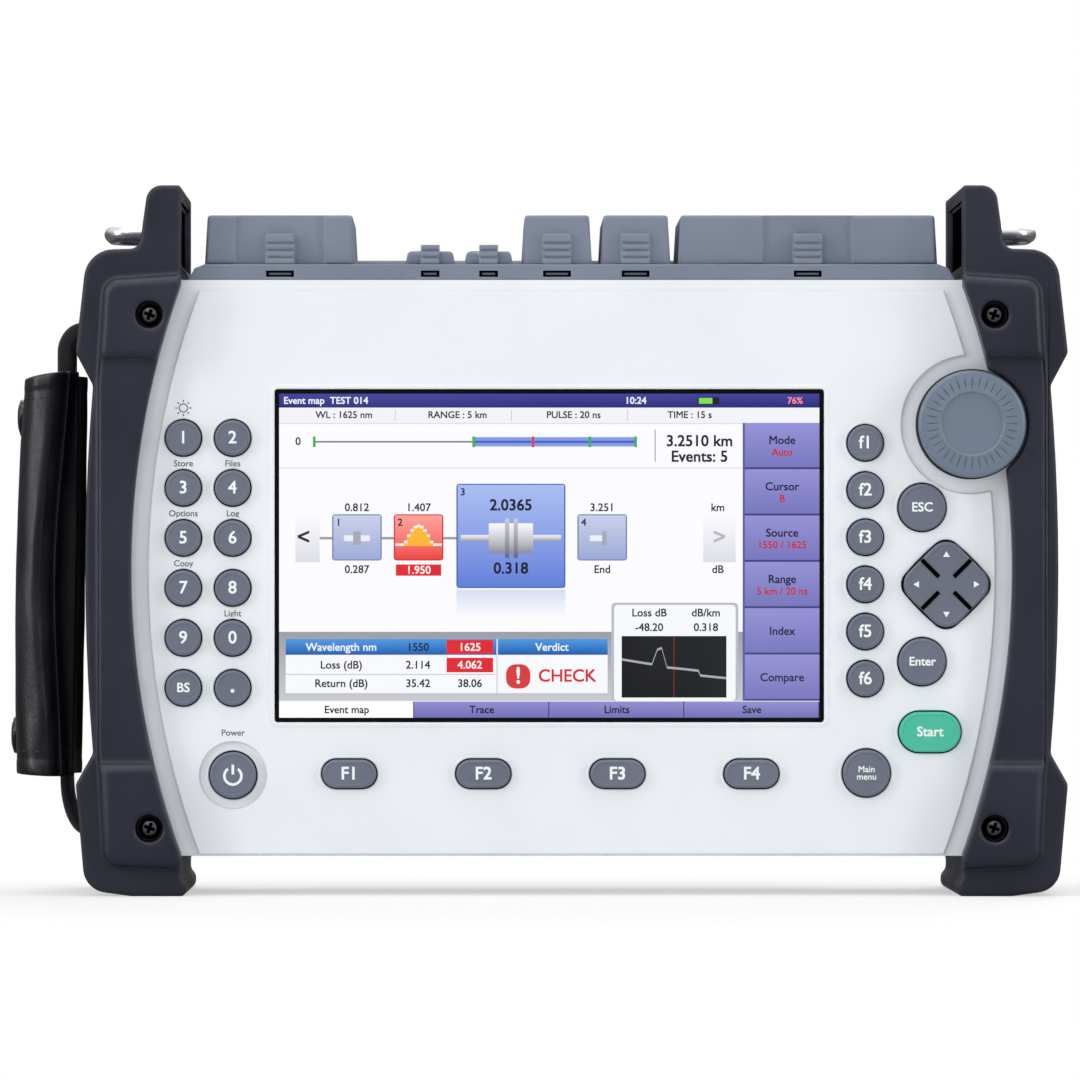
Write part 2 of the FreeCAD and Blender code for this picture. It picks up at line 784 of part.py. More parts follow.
def build_deck():
    """Grey moulding on top of the case: latch slots in front, hinge ridge at the back."""
    body = new_body("connector_deck")
    end = d.deck_half
    low = d.case_top
    profile = Drawing(body, "front", d.deck_front)
    profile.outline([(-end, low), (end, low), (end - 1.8, low + d.deck_thickness - 0.9),
                     (end - 4.2, DECK_TOP), (-end + 4.2, DECK_TOP),
                     (-end + 1.8, low + d.deck_thickness - 0.9)])
    grow(body, profile, d.deck_depth)
    ridge = Drawing(body, "side", -end + 4.6)
    draw_knuckle(ridge, HINGE_Y - d.hinge_radius, DECK_TOP - 0.5)
    grow(body, ridge, 2 * end - 9.2)
    rod_way = Drawing(body, "side", -end + 4.6).circle(HINGE_Y, HINGE_Z, d.rod_radius)
    carve(body, rod_way, 2 * end - 9.2)
    notches = Drawing(body, "front", HINGE_Y - d.hinge_radius - 1)
    for name, x, width, height, tab, recessed in COVERS:
        half = width / 2 - d.knuckle_inset + d.fit
        notches.rectangle(x - half, x + half, DECK_TOP, HINGE_Z + d.hinge_radius + 1)
    carve(body, notches, 2 * d.hinge_radius + 2)
    # latch slots: a window in the front edge, open to a blind slot from above
    windows = Drawing(body, "front", d.deck_front)
    slots = Drawing(body, "top", low + 0.4)
    slot_front = d.cover_front - 0.6
    for name, x, width, height, tab, recessed in COVERS:
        windows.rectangle(x - tab / 2, x + tab / 2, low + 0.9, low + 2.7)
        slots.rectangle(x - tab / 2, x + tab / 2, slot_front,
                        d.cover_front + d.blade + 0.8)
    carve(body, windows, slot_front - d.deck_front + 0.2)
    carve(body, slots, d.deck_thickness)
    ports = Drawing(body, "top", low)
    for x in ADAPTERS:
        ports.circle(x, d.port_y, d.adapter_radius + d.fit)
    for left, right, front, back in data_port_boxes():
        ports.rectangle(left - d.fit, right + d.fit, front - d.fit, back + d.fit)
    carve(body, ports, d.deck_thickness)


def draw_knuckle(drawing, front, foot):
    """A cover's or the ridge's hinge profile across X, round about the rod.

    The ridge stands straight down to its foot; a cover's knuckle, with no foot, is round
    below and runs forward into the cover's back wall.
    """
    radius = d.hinge_radius
    around = (radius * 1.0001, 1)
    if foot:
        drawing.outline([(front, foot), (HINGE_Y + radius, foot),
                         (HINGE_Y + radius, HINGE_Z), (front, HINGE_Z)], {2: around})
    else:
        drawing.outline([(front, HINGE_Z - radius), (HINGE_Y, HINGE_Z - radius),
                         (HINGE_Y, HINGE_Z + radius), (front, HINGE_Z + radius)],
                        {1: around})


def data_port_boxes():
    """Left, right, front and back of each electrical socket in the deck."""
    usb_half, usb_rise = 7.0, 3.4
    boxes = []
    for place in (-1, 1):
        y = d.port_y + place * d.usb_pitch / 2
        boxes.append((d.usb_x - usb_half, d.usb_x + usb_half, y - usb_rise, y + usb_rise))
    boxes.append((d.jack_x - 4.5, d.jack_x + 4.5, d.port_y - 5.5, d.port_y + 5.5))
    boxes.append((d.usb_cover_x - 4.2, d.usb_cover_x + 4.2, d.port_y - 1.7, d.port_y + 1.7))
    boxes.append((d.audio_cover_x - 3.2, d.audio_cover_x + 3.2, d.port_y - 3.2,
                  d.port_y + 3.2))
    return boxes


def build_data_ports():
    """USB sockets with their tongues, the power jack and the audio jack, one group."""
    body = new_body("data_ports")
    depth = 14.0
    base = DECK_TOP - depth
    shells = Drawing(body, "top", base)
    boxes = data_port_boxes()
    for left, right, front, back in boxes:
        shells.rectangle(left, right, front, back)
    grow(body, shells, depth)
    skin = 0.7
    mouths = Drawing(body, "top", base + 2)
    for left, right, front, back in boxes[:2] + boxes[3:4]:
        mouths.rectangle(left + skin, right - skin, front + skin, back - skin)
    mouths.circle(d.jack_x, d.port_y, 3.2)
    mouths.circle(d.audio_cover_x, d.port_y, 1.8)
    carve(body, mouths, depth - 2)
    tongues = Drawing(body, "top", base + 1)
    for left, right, front, back in boxes[:2]:
        tongues.rectangle(left + 1.6, right - 1.6, front + 1.5, front + 3.4)
    tongues.circle(d.jack_x, d.port_y, 1.0)
    grow(body, tongues, depth - 3)


def build_cover(name, x, width, height, tab, recessed):
    """Hinged dust cap: hollow, with a ribbed thumb tab and a latch blade below it."""
    body = new_body(name, x=x)
    half = width / 2
    top = COVER_BASE + height
    tall = height.number > 2 * d.low_cover.number
    profile = Drawing(body, "front", d.cover_front)
    profile.outline([(-half, COVER_BASE), (half, COVER_BASE), (half - d.cover_draft, top),
                     (-half + d.cover_draft, top)])
    grow(body, profile, d.cover_depth)
    if recessed:
        wide = d.cover_recess / 2
        front_pocket(body, -wide, wide, COVER_BASE, top, d.cover_front, d.recess_depth)
    hollow = Drawing(body, "top", COVER_BASE)
    skin = d.cover_skin
    inset = skin + (d.cover_draft if tall else 0)
    front_skin = skin + (d.recess_depth if recessed else 0)
    hollow.rectangle(-half + inset, half - inset, d.cover_front + front_skin,
                     COVER_BACK - skin)
    carve(body, hollow, height - skin)
    knuckle_half = half - d.knuckle_inset
    knuckle = Drawing(body, "side", -knuckle_half)
    draw_knuckle(knuckle, COVER_BACK - 0.5, None)
    grow(body, knuckle, 2 * knuckle_half)
    bore = Drawing(body, "side", -knuckle_half)
    bore.circle(HINGE_Y, HINGE_Z, d.rod_radius + d.rod_play)
    carve(body, bore, 2 * knuckle_half)
    tab_high = d.tab_height if tall else d.low_tab_height
    face = d.cover_front - d.tab_proud
    tab_depth = d.tab_proud + d.recess_depth + 0.2
    front_box(body, -tab / 2, tab / 2, COVER_BASE, COVER_BASE + tab_high, face, tab_depth)
    grooves = Drawing(body, "front", face)
    count = 3 if tall else 2
    for index in range(count):
        low = COVER_BASE + d.rib_pitch * (index + 0.75)
        grooves.rectangle(-tab / 2, tab / 2, low, low + d.rib_pitch * 0.35)
    carve(body, grooves, 0.6)
    blade_half = tab / 2 - d.fit
    front_box(body, -blade_half, blade_half, COVER_BASE - d.blade_reach, COVER_BASE + 0.8,
              d.cover_front, d.blade)


def build_hinge_rod():
    body = new_body("cover_hinge_rod")
    reach = d.deck_half - 4.8
    rod = Drawing(body, "side", -reach).circle(HINGE_Y, HINGE_Z, d.rod_radius)
    grow(body, rod, 2 * reach)


def build_adapters():
    """Fibre adapters: flange on the deck, barrel above it and a tail below, one group."""
    body = new_body("optical_adapters")
    length = d.adapter_tail + d.adapter_height
    base = DECK_TOP - d.adapter_tail
    barrels = Drawing(body, "top", base)
    flanges = Drawing(body, "top", DECK_TOP)
    bores = Drawing(body, "top", base + 2)
    for x in ADAPTERS:
        barrels.circle(x, d.port_y, d.adapter_radius)
        flanges.square(x, d.port_y, d.adapter_flange)
        bores.circle(x, d.port_y, d.ferrule_bore)
    grow(body, barrels, length)
    grow(body, flanges, 1.4)
    carve(body, bores, length - 2)


# ---------------------------------------------------------------- inside

def build_display():
    glass = new_body("display_window")
    half = d.screen_width / 2 + d.screen_border - 0.2
    rise = d.screen_height / 2 + d.screen_border - 0.2
    front_box(glass, d.screen_x - half, d.screen_x + half, d.screen_z - rise,
              d.screen_z + rise, d.glass_inset, d.glass)
    module = new_body("display_module")
    half = d.screen_width / 2 + d.module_border
    rise = d.screen_height / 2 + d.module_border
    front_box(module, d.screen_x - half, d.screen_x + half, d.screen_z - rise,
              d.screen_z + rise, INNER_FACE + 0.2, d.module_depth)
    inset = d.module_border
    front_pocket(module, d.screen_x - half + inset, d.screen_x + half - inset,
                 d.screen_z - rise + inset, d.screen_z + rise - inset, INNER_FACE + 0.2, 0.6)


def build_main_board():
    body = new_body("main_board")
    half = CASE_HALF - d.wall - 8
    low = d.module_low_z - 6
    high = d.module_high_z
    front_box(body, -half, half, low, high, d.main_board_y, d.board)
    chips = Drawing(body, "front", d.main_board_y - 2.0)
    for x, z, side in ((-80, 20, 24), (-30, 30, 30), (20, 18, 16), (70, 30, 20)):
        chips.rectangle(x - side / 2, x + side / 2, low + z, low + z + side)
    grow(body, chips, 2.2)


def build_optical_module():
    """Laser and receiver block, which stands on the main board under the adapters."""
    body = new_body("optical_module")
    half = d.module_width / 2
    front = d.main_board_y + d.board + d.fit
    front_box(body, d.module_x - half, d.module_x + half, d.module_low_z,
              d.module_high_z, front, d.optics_depth)
    dress(body, "Chamfer", 1.5, in_plane_y(front + d.optics_depth))
    fins = Drawing(body, "front", front + d.optics_depth)
    for index in range(8):
        x = d.module_x - half + 8 + index * 10
        fins.rectangle(x, x + 3, d.module_low_z + 6, d.module_high_z - 6)
    grow(body, fins, 3.0)


def build_battery():
    pack = new_body("battery_pack")
    front_box(pack, -d.pack_half, d.pack_half, d.pack_low_z, d.pack_high_z,
              d.case_depth - d.pack_depth, d.pack_depth)
    corners = [(side * d.pack_half, z) for side in (-1, 1) for z in (d.pack_low_z, d.pack_high_z)]
    dress(pack, "Fillet", 2.0, along_y_at(corners))
    door = new_body("battery_door")
    front_box(door, -d.door_half, d.door_half, d.door_low_z, d.door_high_z, DOOR_Y, d.door)
    grips = Drawing(door, "front", DOOR_Y + d.door)
    for index in range(4):
        z = d.door_high_z - 8 - index * 2.4
        grips.rectangle(-12, 12, z, z + 1.2)
    grow(door, grips, 0.6)


def build_tilt_stand():
    body = new_body("tilt_stand")
    half, leg = d.stand_half, d.stand_leg
    low = d.stand_foot_z
    front = STAND_Y - d.stand_thickness / 2
    frame = Drawing(body, "front", front)
    frame.outline([
        (-half, low), (half, low), (half, d.stand_hinge_z), (half - leg, d.stand_hinge_z),
        (half - leg, low + d.stand_bar), (-half + leg, low + d.stand_bar),
        (-half + leg, d.stand_hinge_z), (-half, d.stand_hinge_z)])
    grow(body, frame, d.stand_thickness)
    dress(body, "Fillet", 5.0, along_y_at([(-half, low), (half, low)]))
    reach = half + d.ear + 0.2
    for start in (-reach, half - leg):
        barrel = Drawing(body, "side", start)
        barrel.circle(STAND_Y, d.stand_hinge_z, d.axle_radius)
        grow(body, barrel, leg + d.ear + 0.2)


# ---------------------------------------------------------------- corner bumpers

def bumper_outline(side):
    """Silhouette of a bumper from the front, from the horn's inner edge round to the foot."""
    inner = d.horn_inner
    points = [
        (inner, d.horn_top),
        (inner + d.horn_tip, d.horn_top),
        (inner + d.horn_root, d.shoulder_z + 0.4),
        (d.shoulder_x, d.shoulder_z),
        (d.corner_x, d.corner_high_z),
        (d.waist_x, d.waist_high_z),
        (d.waist_x, d.waist_low_z),
        (d.corner_x, d.corner_low_z),
        (d.foot_x, as_size(1.8)),
        (d.foot_flat_x, as_size(0)),
        (inner - 0.9, as_size(0)),
        (inner - d.foot_lip, as_size(1.6)),
        (inner - d.foot_lip, as_size(3.6)),
        (inner, as_size(5.4)),
    ]
    return [(side * x, z) for x, z in points]


def build_bumper(name, side):
    body = new_body(name)
    points = bumper_outline(side)
    shell = Drawing(body, "front", -d.band_proud)
    shell.outline(points, {5: (d.waist_arc, -side)})
    grow(body, shell, BAND_BACK + d.band_proud)
    dress(body, "Fillet", d.shoulder_round, along_y_at([points[3]]))
    dress(body, "Fillet", 7.0, along_y_at([points[8]]))
    dress(body, "Fillet", 4.5, along_y_at([points[1]]))
    dress(body, "Fillet", 3.0, along_y_at([points[2], points[4], points[5], points[6],
                                           points[7]]))
    add_bumper_relief(body, side)
    # room for the case, and the bowed window that shows the panel
    outer = side * (CASE_HALF + 0.3)
    cavity = Drawing(body, "front", d.step - 0.3)
    cavity.rectangle(side * (d.horn_inner - 5), outer, d.case_floor - 0.3, d.case_top + 0.3)
    carve(body, cavity, d.case_depth + 0.6 - d.step)
    for start, depth in ((-d.pad_proud - 1, d.pad_proud + 1 + d.step),
                         (d.case_depth, d.pad_proud + 1)):
        window = Drawing(body, "front", start)
        window.outline([
            (side * (d.horn_inner - 5), d.panel_arc_low_z),
            (side * d.horn_inner, d.panel_arc_low_z),
            (side * d.horn_inner, d.panel_arc_high_z),
            (side * (d.horn_inner - 5), d.panel_arc_high_z)],
            {1: (d.panel_arc, side)})
        carve(body, window, depth)
    add_bumper_holes(body, side)
    return body


def add_bumper_relief(body, side):
    """Low zone inside the rim, and the four proud corner pads with their rounded edges."""
    inner = side * d.horn_inner
    crease = side * d.crease_x
    waist_edge = side * (d.waist_x - 1.5)
    foot, top = d.crease_low_z + 1, d.crease_high_z - 1.5
    slope_low = d.corner_low_z + 6
    slope_high = d.corner_high_z - 2
    step = d.waist_proud - d.band_proud
    for front in (-d.waist_proud, BAND_BACK):
        zone = Drawing(body, "front", front)
        zone.outline([(inner, d.crease_low_z), (crease, foot), (waist_edge, d.waist_low_z),
                      (waist_edge, d.waist_high_z), (crease, top), (inner, d.crease_high_z)])
        grow(body, zone, step)
    lean_low = (waist_edge - crease) * ((slope_low - foot) / (d.waist_low_z - foot))
    lean_high = (waist_edge - crease) * ((top - slope_high) / (top - d.waist_high_z))
    for front in (-d.pad_proud, BAND_BACK + step):
        pads = Drawing(body, "front", front)
        pads.outline([(inner, d.crease_low_z), (crease, foot), (crease + lean_low, slope_low),
                      (inner, slope_low)])
        pads.outline([(inner, slope_high), (crease + lean_high, slope_high), (crease, top),
                      (inner, d.crease_high_z)])
        grow(body, pads, d.pad_proud - d.waist_proud)
    dress(body, "Fillet", 4.5, along_y_at([(crease, top), (crease, foot)]))
    dress(body, "Fillet", d.pad_round, on_pad_face(-d.pad_proud, inner))
    dress(body, "Chamfer", d.pad_round * 0.7, on_pad_face(PAD_BACK, inner))


def on_pad_face(y, inner):
    """Chooser of a corner pad's front edges, but not the one beside the panel."""
    in_plane = in_plane_y(y)

    def chosen(edge):
        box = edge.BoundBox
        on_inner = box.XLength < 0.01 and abs(box.XMin - inner.number) < 0.01
        return in_plane(edge) and not on_inner

    return chosen


def add_bumper_holes(body, side):
    seats = Drawing(body, "front", -d.pad_proud)
    shanks = Drawing(body, "front", -d.pad_proud)
    for z in SCREW_HEIGHTS:
        seats.circle(side * d.screw_x, z, d.counterbore)
        shanks.circle(side * d.screw_x, z, d.screw_shank + 0.3)
    carve(body, seats, d.counterbore_depth)
    carve(body, shanks, d.pad_proud + d.step)
    if side > 0:
        notch = Drawing(body, "front", -d.pad_proud)
        notch.circle(d.dial_x, d.dial_z, d.dial_radius + d.dial_gap)
        carve(body, notch, d.pad_proud + d.step)
    recess_start = d.horn_inner if side > 0 else -d.horn_inner - 1.5
    recess = Drawing(body, "side", recess_start)
    recess.rectangle(2.5, d.case_depth - 4, DECK_TOP, d.horn_top - 4)
    carve(body, recess, 1.5)
    legs = Drawing(body, "side", d.horn_inner + 3 if side > 0 else -d.horn_inner - 15)
    for place in (-1, 1):
        legs.circle(d.strap_y + place * d.ring_span / 2, d.ring_z, d.ring_wire * 1.09)
    carve(body, legs, 12)
    if side < 0:
        slots = Drawing(body, "side", -d.corner_x - 1)
        half = d.webbing_half + d.fit
        for low, high in (webbing_levels()):
            slots.rectangle(d.strap_y - half, d.strap_y + half, low - d.fit, high + d.fit)
        carve(body, slots, d.corner_x + 1 - CASE_HALF - 0.3 - 2.5)


def build_screws():
    """Four long screws that clamp both bumpers and both shells, one group."""
    body = new_body("bumper_screws")
    seat = -d.pad_proud + d.counterbore_depth
    heads = Drawing(body, "front", seat - 2.0)
    shanks = Drawing(body, "front", seat)
    for side in (-1, 1):
        for z in SCREW_HEIGHTS:
            heads.circle(side * d.screw_x, z, d.screw_head)
            shanks.circle(side * d.screw_x, z, d.screw_shank)
    grow(body, heads, 2.0)
    grow(body, shanks, d.screw_length)


# ---------------------------------------------------------------- straps

def build_rings():
    """Bent wire loops for the shoulder strap, pressed into both horns, one group."""
    body = new_body("strap_rings")
    wire = d.ring_wire
    end = d.horn_inner + 4
    near = d.strap_y - d.ring_span / 2
    far = d.strap_y + d.ring_span / 2
    out = d.ring_reach - wire
    bend = d.ring_bend
    corner = (out - bend, near), (out, near + bend), (out, far - bend), (out - bend, far)
    path = Drawing(body, "top", d.ring_z)
    flat = [(end, near), corner[0], corner[1], corner[2], corner[3], (end, far)]
    curves = []
    vectors = [Vector(x.number, y.number, 0) for x, y in flat]
    for index in range(5):
        start, stop = vectors[index], vectors[index + 1]
        if index in (1, 3):
            curves.append(path.add_arc(start, stop, bend, 1))
        else:
            curves.append(path.sketch.addGeometry(Part.LineSegment(start, stop)))
    path.pin(curves[0], 1, *flat[0])
    for index in range(4):
        joint = vectors[index + 1]
        ends = [path.end_at(curves[index], joint), path.end_at(curves[index + 1], joint)]
        path.sketch.addConstraint(Sketcher.Constraint(
            "Coincident", curves[index], ends[0], curves[index + 1], ends[1]))
        path.pin(curves[index + 1], ends[1], *flat[index + 1])
    path.pin(curves[4], path.end_at(curves[4], vectors[5]), *flat[5])
    section = Drawing(body, "side", end)
    flat_half = wire * 0.414
    section.outline([(near + across, d.ring_z + up) for across, up in (
        (-wire, -flat_half), (-flat_half, -wire), (flat_half, -wire), (wire, -flat_half),
        (wire, flat_half), (flat_half, wire), (-flat_half, wire), (-wire, flat_half))])
    loop = body.newObject("PartDesign::AdditivePipe", "strap_ring_wire")
    loop.Profile = section.sketch
    loop.Spine = (path.sketch, [])
    mirror = body.newObject("PartDesign::Mirrored", "strap_rings_mirrored")
    mirror.Originals = [loop]
    plane = [item for item in body.Origin.OriginFeatures if item.Role == "YZ_Plane"][0]
    mirror.MirrorPlane = (plane, [""])
    body.Tip = mirror


def sleeve_face(z):
    """X of the sleeve's outer face at a height: it leans in towards the top."""
    height = d.sleeve_high_z - d.sleeve_low_z
    return -d.sleeve_reach + d.sleeve_lean * ((z - d.sleeve_low_z) / height)


def build_sleeve():
    """Padded hand strap: bowed in plan, lofted from its foot to its top."""
    body = new_body("hand_strap_sleeve")
    sections = []
    for z in (d.sleeve_low_z, d.sleeve_high_z):
        outer = sleeve_face(z)
        inner = -(d.sleeve_reach - d.sleeve_thickness)
        edge = inner + d.sleeve_edge
        half = d.sleeve_half
        section = Drawing(body, "top", z)
        section.outline([
            (outer, d.strap_y - half * 0.62), (outer + 8.5, d.strap_y - half),
            (edge, d.strap_y - half + 1.5), (inner, d.strap_y - half * 0.72),
            (inner, d.strap_y + half * 0.72), (edge, d.strap_y + half - 1.5),
            (outer + 8.5, d.strap_y + half), (outer, d.strap_y + half * 0.62)])
        sections.append(section.sketch)
    loft = body.newObject("PartDesign::AdditiveLoft", "hand_strap_loft")
    loft.Profile = sections[0]
    loft.Sections = sections[1:]
    loft.Ruled = True
    pockets = [(d.sleeve_low_z, d.webbing_drop), (d.sleeve_high_z - d.webbing_drop,
                                                  d.webbing_drop)]
    line = webbing_line()
    for low, depth in pockets:
        pocket = Drawing(body, "top", low)
        half = d.webbing_half + d.fit
        pocket.rectangle(line - d.webbing / 2 - d.fit, line + d.webbing / 2 + d.fit,
                         d.strap_y - half, d.strap_y + half)
        carve(body, pocket, depth)


def webbing_line():
    """X of the webbing's middle where it runs up and down inside the sleeve."""
    return -(d.sleeve_reach - d.sleeve_thickness) - d.sleeve_edge


def webbing_levels():
    """Low and high edge of the webbing where it enters the bumper, bottom and top."""
    above = d.sleeve_high_z + d.anchor_z
    below = d.sleeve_low_z - d.anchor_z - 3
    return [(below - d.webbing / 2, below + d.webbing / 2),
            (above - d.webbing / 2, above + d.webbing / 2)]


def build_webbing():
    """Two ends of the webbing, from inside the sleeve into the bumper, one group."""
    body = new_body("hand_strap_webbing")
    line = webbing_line()
    near, far = line + d.webbing / 2, line - d.webbing / 2
    root = -d.corner_x + d.anchor_depth
    side = -d.corner_x
    drop = d.webbing_drop - d.fit
    (foot_low, foot_high), (top_low, top_high) = webbing_levels()
    ends = Drawing(body, "front", d.strap_y - d.webbing_half)
    ends.outline([
        (near, d.sleeve_high_z - drop), (near, top_low - 6.5), (side, top_low),
        (root, top_low), (root, top_high), (side - 1.5, top_high),
        (far, top_high - 6.5), (far, d.sleeve_high_z - drop)])
    ends.outline([
        (near, d.sleeve_low_z + drop), (near, foot_high + 6.5), (side, foot_high),
        (root, foot_high), (root, foot_low), (side - 1.5, foot_low),
        (far, foot_low + 6.5), (far, d.sleeve_low_z + drop)])
    grow(body, ends, 2 * d.webbing_half)


def build_snaps():
    """Domed press studs on the sleeve's outer face, one group."""
    body = new_body("hand_strap_snaps")
    for z in (d.snap_low_z, d.snap_high_z):
        face = sleeve_face(z - d.snap_radius)
        rim = Drawing(body, "side", face - 1.0)
        rim.circle(d.strap_y, z, d.snap_radius)
        grow(body, rim, 0.8)
        dome = Drawing(body, "side", face - d.snap_height)
        dome.circle(d.strap_y, z, d.snap_radius - 1.4)
        grow(body, dome, d.snap_height - 0.6)


# ---------------------------------------------------------------- assembly

def build_all():
    build_front_panel()
    build_rear_case()
    build_gasket()
    build_deck()
    for cover in COVERS:
        build_cover(*cover)
    build_hinge_rod()
    build_adapters()
    build_data_ports()
    build_display()
    build_key_board()
    build_main_board()
    build_optical_module()
    build_battery()
    build_tilt_stand()
    for place in key_places():
        build_key(*place)
    build_arrow_pad()
    build_arrow_pivot()
    build_dial_knob()
    build_dial_encoder()
    build_bumper("left_bumper", -1)
    build_bumper("right_bumper", 1)
    build_screws()
    build_rings()
    build_sleeve()
    build_webbing()
    build_snaps()


def check_all():
    """Stop at anything failed, empty or invalid, and at a cut that removed nothing."""
    document.recompute()
    for item in document.Objects:
        if "Invalid" in item.State or "Error" in item.State:
            raise RuntimeError(f"{item.Name} failed: {item.State}")
        if item.TypeId == "PartDesign::Pocket":
            before = item.BaseFeature.Shape.Volume
            if item.Shape.Volume > before - 1e-4:
                raise RuntimeError(f"{item.Name} cuts nothing")
    for body in bodies():
        if body.Shape.isNull() or not body.Shape.isValid():
            raise RuntimeError(f"{body.Label} has no valid shape")


def bodies():
    return [item for item in document.Objects if item.TypeId == "PartDesign::Body"]


build_all()
check_all()
os.makedirs("parts", exist_ok=True)
for body in bodies():
    body.Shape.exportStep(f"parts/{body.Label}.step")
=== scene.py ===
"""An optical time domain reflectometer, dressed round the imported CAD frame.

Lengths are metres; a length written as a number times MM is in millimetres.
"""

import math

import bmesh
import bpy
from mathutils import Matrix, Vector, noise


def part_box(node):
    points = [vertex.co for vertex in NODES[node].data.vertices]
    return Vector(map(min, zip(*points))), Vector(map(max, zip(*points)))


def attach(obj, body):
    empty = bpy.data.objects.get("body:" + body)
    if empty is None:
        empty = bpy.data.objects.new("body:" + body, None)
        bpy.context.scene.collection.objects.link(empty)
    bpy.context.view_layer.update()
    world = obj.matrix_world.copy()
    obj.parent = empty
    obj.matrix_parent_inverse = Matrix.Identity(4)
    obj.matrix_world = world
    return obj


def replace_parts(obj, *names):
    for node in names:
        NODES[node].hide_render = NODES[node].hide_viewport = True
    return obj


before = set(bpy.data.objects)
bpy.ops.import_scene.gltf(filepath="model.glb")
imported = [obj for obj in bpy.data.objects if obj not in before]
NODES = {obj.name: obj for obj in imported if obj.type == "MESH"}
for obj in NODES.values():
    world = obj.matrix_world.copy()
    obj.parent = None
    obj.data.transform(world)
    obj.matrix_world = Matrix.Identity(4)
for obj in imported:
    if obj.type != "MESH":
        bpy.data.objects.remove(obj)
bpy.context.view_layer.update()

MM = 0.001
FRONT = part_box("front_panel")[0].y
DECK_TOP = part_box("connector_deck")[0].z + 4.3 * MM
PROUD = 0.02 * MM  # how far print stands off what bears it
KEY_LUG = 1.1 * MM  # how far a key reaches under the panel on each side
COVERS = ("power_cover", "usb_cover", "audio_cover", "fibre_cover_1", "fibre_cover_2",
          "meter_cover")


def extent(node):
    """Lowest and highest corners of a CAD node's box, and its middle."""
    low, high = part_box(node)
    return low, high, (low + high) / 2


# ---------------------------------------------------------------- shading

def paint(code):
    """A colour written as six hex digits, as linear red, green, blue and alpha."""
    values = [int(code[i:i + 2], 16) / 255 for i in (0, 2, 4)]
    linear = [v / 12.92 if v <= 0.04045 else ((v + 0.055) / 1.055) ** 2.4 for v in values]
    return (*linear, 1.0)


def toned(code, share):
    """A colour made lighter or darker by a factor."""
    return (*(min(1.0, value * share) for value in paint(code)[:3]), 1.0)


class Socket:
    """A value that varies. Arithmetic on it adds Math nodes."""

    def __init__(self, shader, socket):
        self.shader = shader
        self.socket = socket

    def math(self, operation, *values):
        return self.shader.node("Math", {"operation": operation}, dict(enumerate(values)))

    def __add__(self, other):
        return self.math("ADD", self, other)

    def __rsub__(self, other):
        return self.math("SUBTRACT", other, self)

    def __mul__(self, other):
        return self.math("MULTIPLY", self, other)

    __radd__ = __add__
    __rmul__ = __mul__

    def most(self, other):
        """The greater of two values."""
        return self.math("MAXIMUM", self, other)

    def ramp(self, low, high, start=0.0, end=1.0):
        """Smooth step from start at low to end at high."""
        return self.shader.node("MapRange", {"interpolation_type": "SMOOTHSTEP"},
                                {0: self, 1: low, 2: high, 3: start, 4: end})


class Shader:
    """The nodes of a material or of the world."""

    def __init__(self, tree):
        self.tree = tree

    def feed(self, socket, value):
        if isinstance(value, Socket):
            self.tree.links.new(value.socket, socket)
        else:
            socket.default_value = value

    def node(self, kind, settings=None, inputs=None, output=0):
        """A node's output; its settings are made first, then its sockets are fed."""
        node = self.tree.nodes.new("ShaderNode" + kind)
        for name, value in (settings or {}).items():
            setattr(node, name, value)
        for name, value in (inputs or {}).items():
            self.feed(node.inputs[name], value)
        return Socket(self, node.outputs[output])

    def parts(self, vector):
        """The three values of a vector."""
        outputs = self.node("SeparateXYZ", inputs={0: vector}).socket.node.outputs
        return [Socket(self, outputs[i]) for i in range(3)]


class Finish(Shader):
    """A material built round one Principled BSDF."""

    def __init__(self, name, **constants):
        self.material = bpy.data.materials.new(name)
        self.material.use_nodes = True
        super().__init__(self.material.node_tree)
        self.surface = self.tree.nodes["Principled BSDF"]
        self.set(**constants)

    def set(self, **values):
        """Values or links of the surface's sockets; Base_Color stands for Base Color."""
        for name, value in values.items():
            self.feed(self.surface.inputs[name.replace("_", " ")], value)

    def blend(self, factor, first, second):
        """Colour mix: first where factor is 0, second where it is 1."""
        return self.node("Mix", {"data_type": "RGBA"}, {0: factor, 6: first, 7: second},
                         output=2)

    def place(self):
        return self.node("TexCoord", output="Object")

    def tint(self):
        return self.node("Attribute", {"attribute_name": "tint"})

    def noise(self, scale, detail=2.0, stretch=(1, 1, 1), roughness=0.5):
        scaled = self.node("VectorMath", {"operation": "MULTIPLY"},
                           {0: self.place(), 1: stretch})
        return self.node("TexNoise", None, {"Vector": scaled, "Scale": scale,
                                            "Detail": detail, "Roughness": roughness})

    def edges(self, radius):
        """The normal of an edge eased to this radius, and where such edges are."""
        eased_normal = self.node("Bevel", {"samples": 6}, {"Radius": radius})
        flat = self.node("NewGeometry", output="True Normal")
        along = self.node("VectorMath", {"operation": "DOT_PRODUCT"},
                          {0: eased_normal, 1: flat}, output="Value")
        return eased_normal, (1 - along).ramp(0.02, 0.3)

    def relief(self, height, depth, normal=None):
        """Bump of this depth, on top of a normal where one is given."""
        inputs = {"Height": height, "Distance": depth, "Strength": 1.0}
        if normal:
            inputs["Normal"] = normal
        return self.node("Bump", None, inputs)


# ---------------------------------------------------------------- finishes

